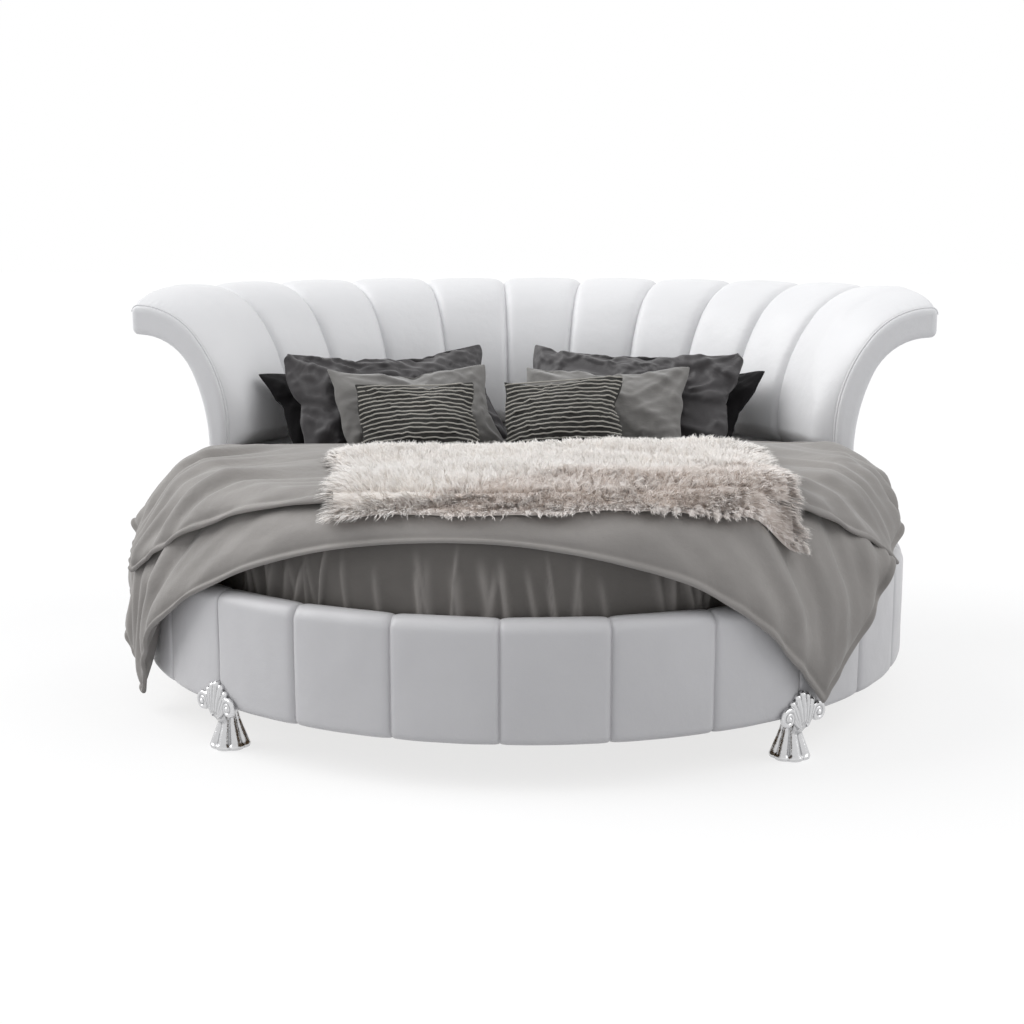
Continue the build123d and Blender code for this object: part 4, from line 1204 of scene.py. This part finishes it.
# Fur throw: a long-haired sheepskin over the front of the bed, cream at the back, curlier and a
# little darker in front and at its right. A thin skin lies on the duvet, with an undercoat and
# locks of hair on it.
skin_corners = (
    Vector((-0.420, -1.000)), Vector((0.725, -0.845)),
    Vector((0.680, -0.030)), Vector((-0.520, -0.290)),
)
skin_thickness = 0.003


def solid_tree(*pieces):
    """A search tree over the finished surface of some pieces."""
    graph = bpy.context.evaluated_depsgraph_get()
    vertices, faces = [], []
    for piece in pieces:
        mesh = piece.evaluated_get(graph).to_mesh()
        start = len(vertices)
        vertices += [vertex.co.copy() for vertex in mesh.vertices]
        faces += [[start + index for index in face.vertices] for face in mesh.polygons]
        piece.evaluated_get(graph).to_mesh_clear()
    return BVHTree.FromPolygons(vertices, faces)


duvet_tree = solid_tree(lower_layer, upper_layer)


def on_duvet(place, lift):
    """The point of the duvet under a place in plan, lifted."""
    hit, *_ = duvet_tree.ray_cast(Vector((place.x, place.y, 1.0)), Vector((0, 0, -1)))
    if hit is None:
        hit, *_ = duvet_tree.find_nearest(Vector((place.x, place.y, 0.5)))
    return hit + Vector((0, 0, lift))


def skin_place(u, v):
    """Where a point of the skin lies in plan, at shares of its width and depth."""
    front = skin_corners[0].lerp(skin_corners[1], u)
    back = skin_corners[3].lerp(skin_corners[2], u)
    flat = front.lerp(back, v) - Vector((0, 0.105 * math.sin(math.pi * u) * (1 - v)))
    wave = noise.noise(Vector((flat.x * 5, flat.y * 5, 11.0))) * 0.03
    edge = max(abs(2 * u - 1), abs(2 * v - 1)) ** 6
    return flat + Vector((wave, wave * 0.6)) * edge


skin_columns, skin_rows = 64, 48


def laid_skin():
    """Rows of points over the duvet, drawn up a little where it dips."""
    points = []
    for row in range(skin_rows + 1):
        line = []
        for column in range(skin_columns + 1):
            line.append(on_duvet(skin_place(column / skin_columns, row / skin_rows), 0.004))
        points.append(line)
    for _ in range(4):
        softer = []
        for row, line in enumerate(points):
            ahead, behind = points[max(0, row - 1)], points[min(skin_rows, row + 1)]
            soft_line = []
            for column, point in enumerate(line):
                near = line[max(0, column - 1)] + line[min(skin_columns, column + 1)]
                near += ahead[column] + behind[column]
                soft_line.append(Vector((point.x, point.y, max(point.z, near.z / 4))))
            softer.append(soft_line)
        points = softer
    return points


skin_points = laid_skin()


def skin_at(u, v):
    """The point on the skin and its upward normal at shares of its width and depth."""
    column = min(skin_columns - 1, int(u * skin_columns))
    row = min(skin_rows - 1, int(v * skin_rows))
    share_u, share_v = u * skin_columns - column, v * skin_rows - row
    a, b = skin_points[row][column:column + 2]
    c, d = skin_points[row + 1][column:column + 2]
    point = a.lerp(b, share_u).lerp(c.lerp(d, share_u), share_v)
    return point, (b - a).cross(c - a).normalized()


skin_leather = leather("sheepskin_back", (0.80, 0.74, 0.69), (0.74, 0.68, 0.63))
skin = new_piece("fur_skin", grid_mesh(skin_points), skin_leather)
wall = skin.modifiers.new("thickness", "SOLIDIFY")
wall.thickness = skin_thickness
wall.offset = 1.0


def fur_material(name, root, tip, pale):
    """Hair: darker at its root, paler at its tip, each lock a little different."""
    material = finish(name, tip, 0.62, Specular_IOR_Level=0.2, Sheen_Weight=0.25)
    patches = spread(material, cloud(material, coordinates(material), 9.0, 4.0), 0.0, 0.5)
    paleness = combined(material.node_tree, "ADD", patches, attribute(material, "lock"))
    tips = blend_colours(material, paleness, tip, pale)
    paint(material, blend_colours(material, attribute(material, "tone"), root, tips))
    return material


cream_hair = fur_material(
    "cream_hair", (0.86, 0.81, 0.76), (0.95, 0.915, 0.885), (0.97, 0.95, 0.925)
)
beige_hair = fur_material(
    "beige_hair", (0.62, 0.54, 0.485), (0.92, 0.86, 0.815), (0.97, 0.935, 0.905)
)
fur_rule = random.Random(7)
noise.seed_set(7)  # without it the clock decides what noise_vector gives


def beige_depth(u):
    """How far back the darker hair reaches, as a share of the throw's depth: less at the left."""
    return 0.02 + 0.34 * soft_step((u - 0.10) / 0.5)


def undercoat():
    """A dense bumpy layer over the skin, in the colour of the hair that grows through it."""
    bm = grid_mesh(skin_points)
    bm.faces.ensure_lookup_table()
    for index, face in enumerate(bm.faces):
        share = (index % skin_columns + 0.5) / skin_columns
        face.material_index = 1 if index // skin_columns < beige_depth(share) * skin_rows else 0
    bmesh.ops.subdivide_edges(bm, edges=bm.edges, cuts=2, use_grid_fill=True)
    bmesh.ops.recalc_face_normals(bm, faces=bm.faces)
    for vertex in bm.verts:
        bump = noise.noise(vertex.co * 60) * 0.003 + noise.noise(vertex.co * 22) * 0.003
        vertex.co.z += skin_thickness + 0.0075 + (0.0 if vertex.is_boundary else bump)
    piece = new_piece("fur_undercoat", bm, cream_hair, beige_hair)
    tone = piece.data.attributes.new("tone", "FLOAT", "POINT")
    lock = piece.data.attributes.new("lock", "FLOAT", "POINT")
    for index, vertex in enumerate(piece.data.vertices):
        tone.data[index].value = 0.45
        lock.data[index].value = 0.0
    wall = piece.modifiers.new("thickness", "SOLIDIFY")
    wall.thickness = 0.006
    wall.offset = -1.0
    return piece


def hair(name, material, count, darker, length, curl, lean):
    """Locks of hair over the darker or the paler part, each hair a narrow tapered ribbon. Some of
    them stand along the throw's edges."""
    steps = 4
    bm = bmesh.new()
    blade_of = bm.verts.layers.int.new("blade")
    side_of = bm.verts.layers.int.new("side")
    tone_of = bm.verts.layers.float.new("tone")
    lock_of = bm.verts.layers.float.new("lock")
    blades = []
    cell = 0.016  # a lock's size
    full_turn = 6.283
    for _ in range(count):
        u, v = fur_rule.random(), fur_rule.random()
        while fur_rule.random() > (2.5 * beige_depth(u) if darker else 1 - beige_depth(u)):
            u = fur_rule.random()
        divide = beige_depth(u)
        low, high = (0.0, divide + 0.03) if darker else (divide - 0.03, 1.0)
        border = low + (high - low) * v + 0.06 * noise.noise(Vector((u * 9, v * 3, 2.0)))
        v = min(0.9995, max(0.0005, border))
        if fur_rule.random() < 0.06:
            v = fur_rule.uniform(0.0005, 0.02) if darker else fur_rule.uniform(0.985, 0.9995)
        if fur_rule.random() < 0.04:
            u = 0.998 if darker else fur_rule.choice((0.002, 0.998))
        root, normal = skin_at(u, v)
        root = root + normal * (skin_thickness + 0.004)
        lock = Vector((math.floor(root.x / cell), math.floor(root.y / cell), 3.0))
        swirl = noise.noise_vector(lock * 0.83 + Vector((0.3, 0.7, 0.1)))
        across, along = lock.x + 0.5 + swirl.x * 0.8, lock.y + 0.5 + swirl.y * 0.8
        middle = Vector((across * cell, along * cell, root.z))
        comb = Vector((lean[0], lean[1], 0)) + Vector((swirl.x, swirl.y, 0)) * curl * 1.3
        outward = Vector((2 * u - 1, 2 * v - 1, 0))
        comb += Vector((
            abs(outward.x) ** 8 * math.copysign(1.1, outward.x),
            abs(outward.y) ** 10 * math.copysign(1.2, outward.y), 0,
        ))
        comb += Vector((fur_rule.uniform(-0.22, 0.22), fur_rule.uniform(-0.22, 0.22), 0))
        stand = 1 - fur_rule.uniform(0.3, 1.1) * max(abs(outward.x), abs(outward.y)) ** 14
        rise = (normal * stand + comb).normalized()
        gather = (middle - root) * 0.75
        reach = length * fur_rule.uniform(0.75, 1.15) * (1 + 0.25 * swirl.z)
        spin = Vector((fur_rule.uniform(-0.5, 0.5), fur_rule.uniform(-0.5, 0.5), 1.0))
        side = rise.cross(spin).normalized()
        twist = fur_rule.uniform(0, full_turn)
        shade = fur_rule.random() * 0.5 + 0.5 * abs(swirl.x)
        blades.append((root, rise, gather, reach, side, twist, shade))
    tips = []
    for blade, (root, rise, gather, reach, side, twist, shade) in enumerate(blades):
        pair = []
        for number, sign in enumerate((-1, 1)):
            vertex = bm.verts.new(root + side * 0.0011 * sign)
            vertex[blade_of] = blade
            vertex[side_of] = number
            vertex[tone_of] = 0.0
            vertex[lock_of] = shade
            pair.append(vertex)
        tips.append(bm.edges.new(pair))
    for step in range(1, steps + 1):
        share = step / steps
        grown = bmesh.ops.extrude_edge_only(bm, edges=tips)["geom"]
        tips = [item for item in grown if isinstance(item, bmesh.types.BMEdge)]
        width = 0.0013 * (1 - share) ** 0.6 + 0.00025
        for vertex in (item for item in grown if isinstance(item, bmesh.types.BMVert)):
            root, rise, gather, reach, side, twist, shade = blades[vertex[blade_of]]
            sign = 2 * vertex[side_of] - 1
            centre = root + rise * reach * share + gather * share**1.4
            wave = curl * 0.006 * math.sin(twist + share * 7.0)
            centre += side * wave + Vector((0, 0, -1)) * reach * 0.30 * share**2
            vertex.co = centre + side * width * sign
            vertex[tone_of] = min(1.0, share * 1.25)
            vertex[lock_of] = shade
    return new_piece(name, bm, material)


throw_pieces = [undercoat()]
for layer in ("under", "upper"):
    throw_pieces.append(hair(
        f"fur_cream_hair_{layer}", cream_hair, count=20000, darker=False, length=0.042,
        curl=0.35, lean=(-0.10, 0.30),
    ))
throw_pieces.append(hair(
    "fur_beige_hair", beige_hair, count=21000, darker=True, length=0.036, curl=0.60,
    lean=(0.10, 0.0),
))
for piece in (skin, *throw_pieces):
    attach(piece, "bed")
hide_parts("fur_throw")


# Cushions: closed cotton covers with soft fillings, eight of them in two groups of four, leaning
# on the headboard and on one another. Each is sewn flat and swells up when it is filled.
cushion_floor = 0.6415
swollen_share, sewn_share = 0.55, 0.45


def put_in_order(bm):
    """Sorts edges and faces by their vertices. Solidify makes them in no fixed order, and the
    cloth simulation gives another form for another order."""
    bm.verts.index_update()

    def rank(item):
        numbers = [vertex.index for vertex in item.verts]
        return min(numbers) * len(bm.verts) + max(numbers)

    bm.edges.sort(key=rank)
    bm.faces.sort(key=rank)


def filled(width, height, puff, seed):
    """A cover sewn flat, then blown up with cloth pressure, in a box of size one each way."""
    cell = 0.0125
    columns, rows = round(width / cell), round(height / cell)
    bm = bmesh.new()
    bmesh.ops.create_grid(bm, x_segments=columns, y_segments=rows, size=0.5)
    bmesh.ops.scale(bm, vec=(width, height, 1), verts=bm.verts)
    upright = Matrix.Rotation(math.radians(90), 3, "X")
    bmesh.ops.rotate(bm, cent=(0, 0, 0), matrix=upright, verts=bm.verts)
    bmesh.ops.solidify(bm, geom=bm.faces[:] + bm.edges[:] + bm.verts[:], thickness=0.006)
    bmesh.ops.recalc_face_normals(bm, faces=bm.faces)
    put_in_order(bm)
    for vertex in bm.verts:
        vertex.co.y += noise.noise(vertex.co * 9 + Vector((seed, 0, 0))) * 0.006
    sewn = [vertex.co.copy() for vertex in bm.verts]
    piece = new_piece("filling", bm)
    run_cloth(
        piece, 24, 0.002, mass=0.2, tension_stiffness=18, compression_stiffness=14,
        shear_stiffness=6, bending_stiffness=0.12, air_damping=2.0, use_pressure=True,
        uniform_pressure_force=puff, weight=0.0,
    )
    bm = bmesh.new()
    bm.from_mesh(piece.data)
    bpy.data.objects.remove(piece)
    low = Vector([min(vertex.co[axis] for vertex in bm.verts) for axis in range(3)])
    high = Vector([max(vertex.co[axis] for vertex in bm.verts) for axis in range(3)])
    middle, span = (low + high) / 2, high - low
    for vertex, before in zip(bm.verts, sewn):
        swollen = [(vertex.co[axis] - middle[axis]) / span[axis] for axis in range(3)]
        across = swollen_share * swollen[0] + sewn_share * before.x / width
        upwards = swollen_share * swollen[2] + sewn_share * before.z / height
        vertex.co = Vector((across, swollen[1], upwards))
    return bm


def crumple(bm, seed, strength):
    """Creases that run in from a cover's corners, and loose puckers between them."""
    for vertex in bm.verts:
        inside = min(0.5 - abs(vertex.co.x), 0.5 - abs(vertex.co.z))
        lift = 0.6 * noise.noise(Vector((vertex.co.x * 6, vertex.co.z * 4, seed + 9)))
        for corner in ((-0.5, -0.5), (0.5, -0.5), (-0.5, 0.5), (0.5, 0.5)):
            away = Vector((vertex.co.x - corner[0], vertex.co.z - corner[1]))
            angle = math.atan2(away.y, away.x)
            number = seed + corner[0] * 3 + corner[1]
            lines = noise.noise(Vector((angle * 6, away.length * 1.5, number)))
            lift += max(0, 1 - away.length / 0.7) * lines * 1.6
        for spacing, number in ((5.0, 2.0), (9.0, 6.0)):
            bend = noise.noise(Vector((vertex.co.x * 3, vertex.co.z * 3, seed + number))) * 0.35
            across, upwards = (vertex.co.x + bend) * spacing, (vertex.co.z - bend) * spacing
            ridge = noise.noise(Vector((across, upwards * 0.6, seed)))
            lift += 0.9 * math.exp(-((ridge / 0.09) ** 2)) - 0.2
        vertex.co.y += math.copysign(strength, vertex.co.y) * min(1, inside / 0.07) * lift
        vertex.co.x += 0.030 * noise.noise(Vector((vertex.co.z * 3.5, seed, 4.0)))
        vertex.co.z += 0.045 * noise.noise(Vector((vertex.co.x * 3.5, seed, 7.0)))


def fold_corner(bm, size, side, cut):
    """Bends one upper corner of a cover over to the front, along a slanting line."""
    roll = 0.011
    slant = Vector((side, 0, 1)).normalized()
    corner = Vector((side * size[0] / 2, 0, size[2] / 2))
    for vertex in bm.verts:
        beyond = (vertex.co - corner).dot(slant) + cut
        if beyond > 0:
            angle = min(math.pi, beyond / roll)
            along = roll * math.sin(angle) - max(0, beyond - math.pi * roll)
            depth = vertex.co.y
            vertex.co += slant * (along - beyond)
            vertex.co.y = depth * math.cos(angle) - roll * (1 - math.cos(angle))


def lay(bm, size, place, turn, lean, tilt, folded):
    """Gives a filled cover its size and sets it down on the sheet, leaning and turned."""
    for vertex in bm.verts:
        vertex.co = Vector([vertex.co[axis] * size[axis] for axis in range(3)])
        weight = 1 - 0.16 * vertex.co.z / size[2] * 2
        vertex.co.y *= min(1.0, weight)
    if folded:
        fold_corner(bm, size, side=folded, cut=0.045)
    spin = Matrix.Rotation(math.radians(turn), 3, "Z")
    spin = spin @ Matrix.Rotation(math.radians(-lean), 3, "X")
    spin = spin @ Matrix.Rotation(math.radians(tilt), 3, "Y")
    bmesh.ops.rotate(bm, cent=(0, 0, 0), matrix=spin, verts=bm.verts)
    lowest = min(vertex.co.z for vertex in bm.verts)
    where = Vector((place[0], place[1], cushion_floor - lowest))
    bmesh.ops.translate(bm, vec=where, verts=bm.verts)
    return spin, where


satin = woven(
    "dark_satin", (0.068, 0.064, 0.066), (0.042, 0.039, 0.041), 0.46, 0.0003, Sheen_Weight=0.2
)
mid_cotton = woven(
    "mid_grey_cotton", (0.215, 0.208, 0.198), (0.172, 0.166, 0.158), 0.72, 0.0004, Sheen_Weight=0.6
)
stripe_cotton = woven("charcoal_ground", (0.050, 0.049, 0.046), (0.034, 0.033, 0.031), 0.85, 0.0006)
velvet = woven(
    "charcoal_velvet", (0.014, 0.013, 0.014), (0.007, 0.006, 0.007), 0.90, 0.0005, Sheen_Weight=0.05
)
cord_cotton = woven("raised_cord", (0.52, 0.50, 0.46), (0.40, 0.385, 0.35), 0.9, 0.0004)

# Each kind's width, thickness and height, cloth and slot, then each cushion's place, turn, lean
# and tilt.
cushion_kinds = {
    "sham": ((0.780, 0.105, 0.386), satin, "grey_satin"),
    "middle_cushion": ((0.550, 0.095, 0.324), mid_cotton, "mid_grey_cotton"),
    "striped_cushion": ((0.390, 0.080, 0.272), stripe_cotton, "charcoal_stripe"),
    "side_cushion": ((0.365, 0.075, 0.310), velvet, "charcoal_cotton"),
}
cushion_plan = {
    "left_sham": ((-0.454, 0.434), 36.7, 35, 0),
    "right_sham": ((0.322, 0.523), -22.2, 35, 0),
    "left_middle_cushion": ((-0.366, 0.302), 24.3, 35, 0),
    "right_middle_cushion": ((0.244, 0.356), -7.4, 35, 0),
    "left_striped_cushion": ((-0.350, 0.173), 16.3, 33, 0),
    "right_striped_cushion": ((0.119, 0.240), -2.8, 33, -5),
    "left_side_cushion": ((-0.720, 0.408), 54.7, 35, 0),
    "right_side_cushion": ((0.603, 0.546), -49.8, 35, 0),
}
cord_radius = 0.0028


def cords(name, bm, size, spin, where):
    """Raised cords sewn across the front of a cushion, dipping towards its ends."""
    tree = BVHTree.FromBMesh(bm)
    width, _, height = size
    cords_bm = bmesh.new()
    count = 17
    for line in range(count):
        level = height * (0.5 - (line + 0.8) / (count + 0.6))
        path = []
        for step in range(61):
            share = 2 * step / 60 - 1
            across = share * width * 0.490
            dip = 0.022 * abs(share) ** 3 * (0.55 - 0.6 * level / height)
            wave = 0.0026 * noise.noise(Vector((share * 7, line * 1.7, 1.0)))
            local = Vector((across, -0.2, level - dip + wave))
            start, ahead = spin @ local + where, spin @ Vector((0, 1, 0))
            hit, normal, *_ = tree.ray_cast(start, ahead)
            if hit:
                path.append(hit + normal * 0.0006)
        if len(path) > 20:
            tube(cords_bm, path, [cord_radius] * len(path), 8)
    bmesh.ops.recalc_face_normals(cords_bm, faces=cords_bm.faces)
    piece = new_piece(name, cords_bm, cord_cotton)
    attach(piece, "bed")


for seed, (name, plan) in enumerate(cushion_plan.items()):
    place, turn, lean, tilt = plan
    side, _, kind = name.partition("_")
    size, cloth, slot_name = cushion_kinds[kind]
    bm = filled(size[0] * 1.05, size[2] * 1.05, puff=4.5, seed=seed * 3.7)
    crumple(bm, seed * 3.7, strength=0.17 if kind == "sham" else 0.10)
    outwards = {"left": -1, "right": 1}[side] if kind == "sham" else 0
    spin, where = lay(bm, size, place, turn, lean, tilt, outwards)
    if kind == "striped_cushion":
        cords(name.replace("cushion", "cords"), bm, size, spin, where)
    piece = new_piece(name + "_cover", bm, cloth)
    rounded(piece)
    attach(piece, "bed")
    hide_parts(name)
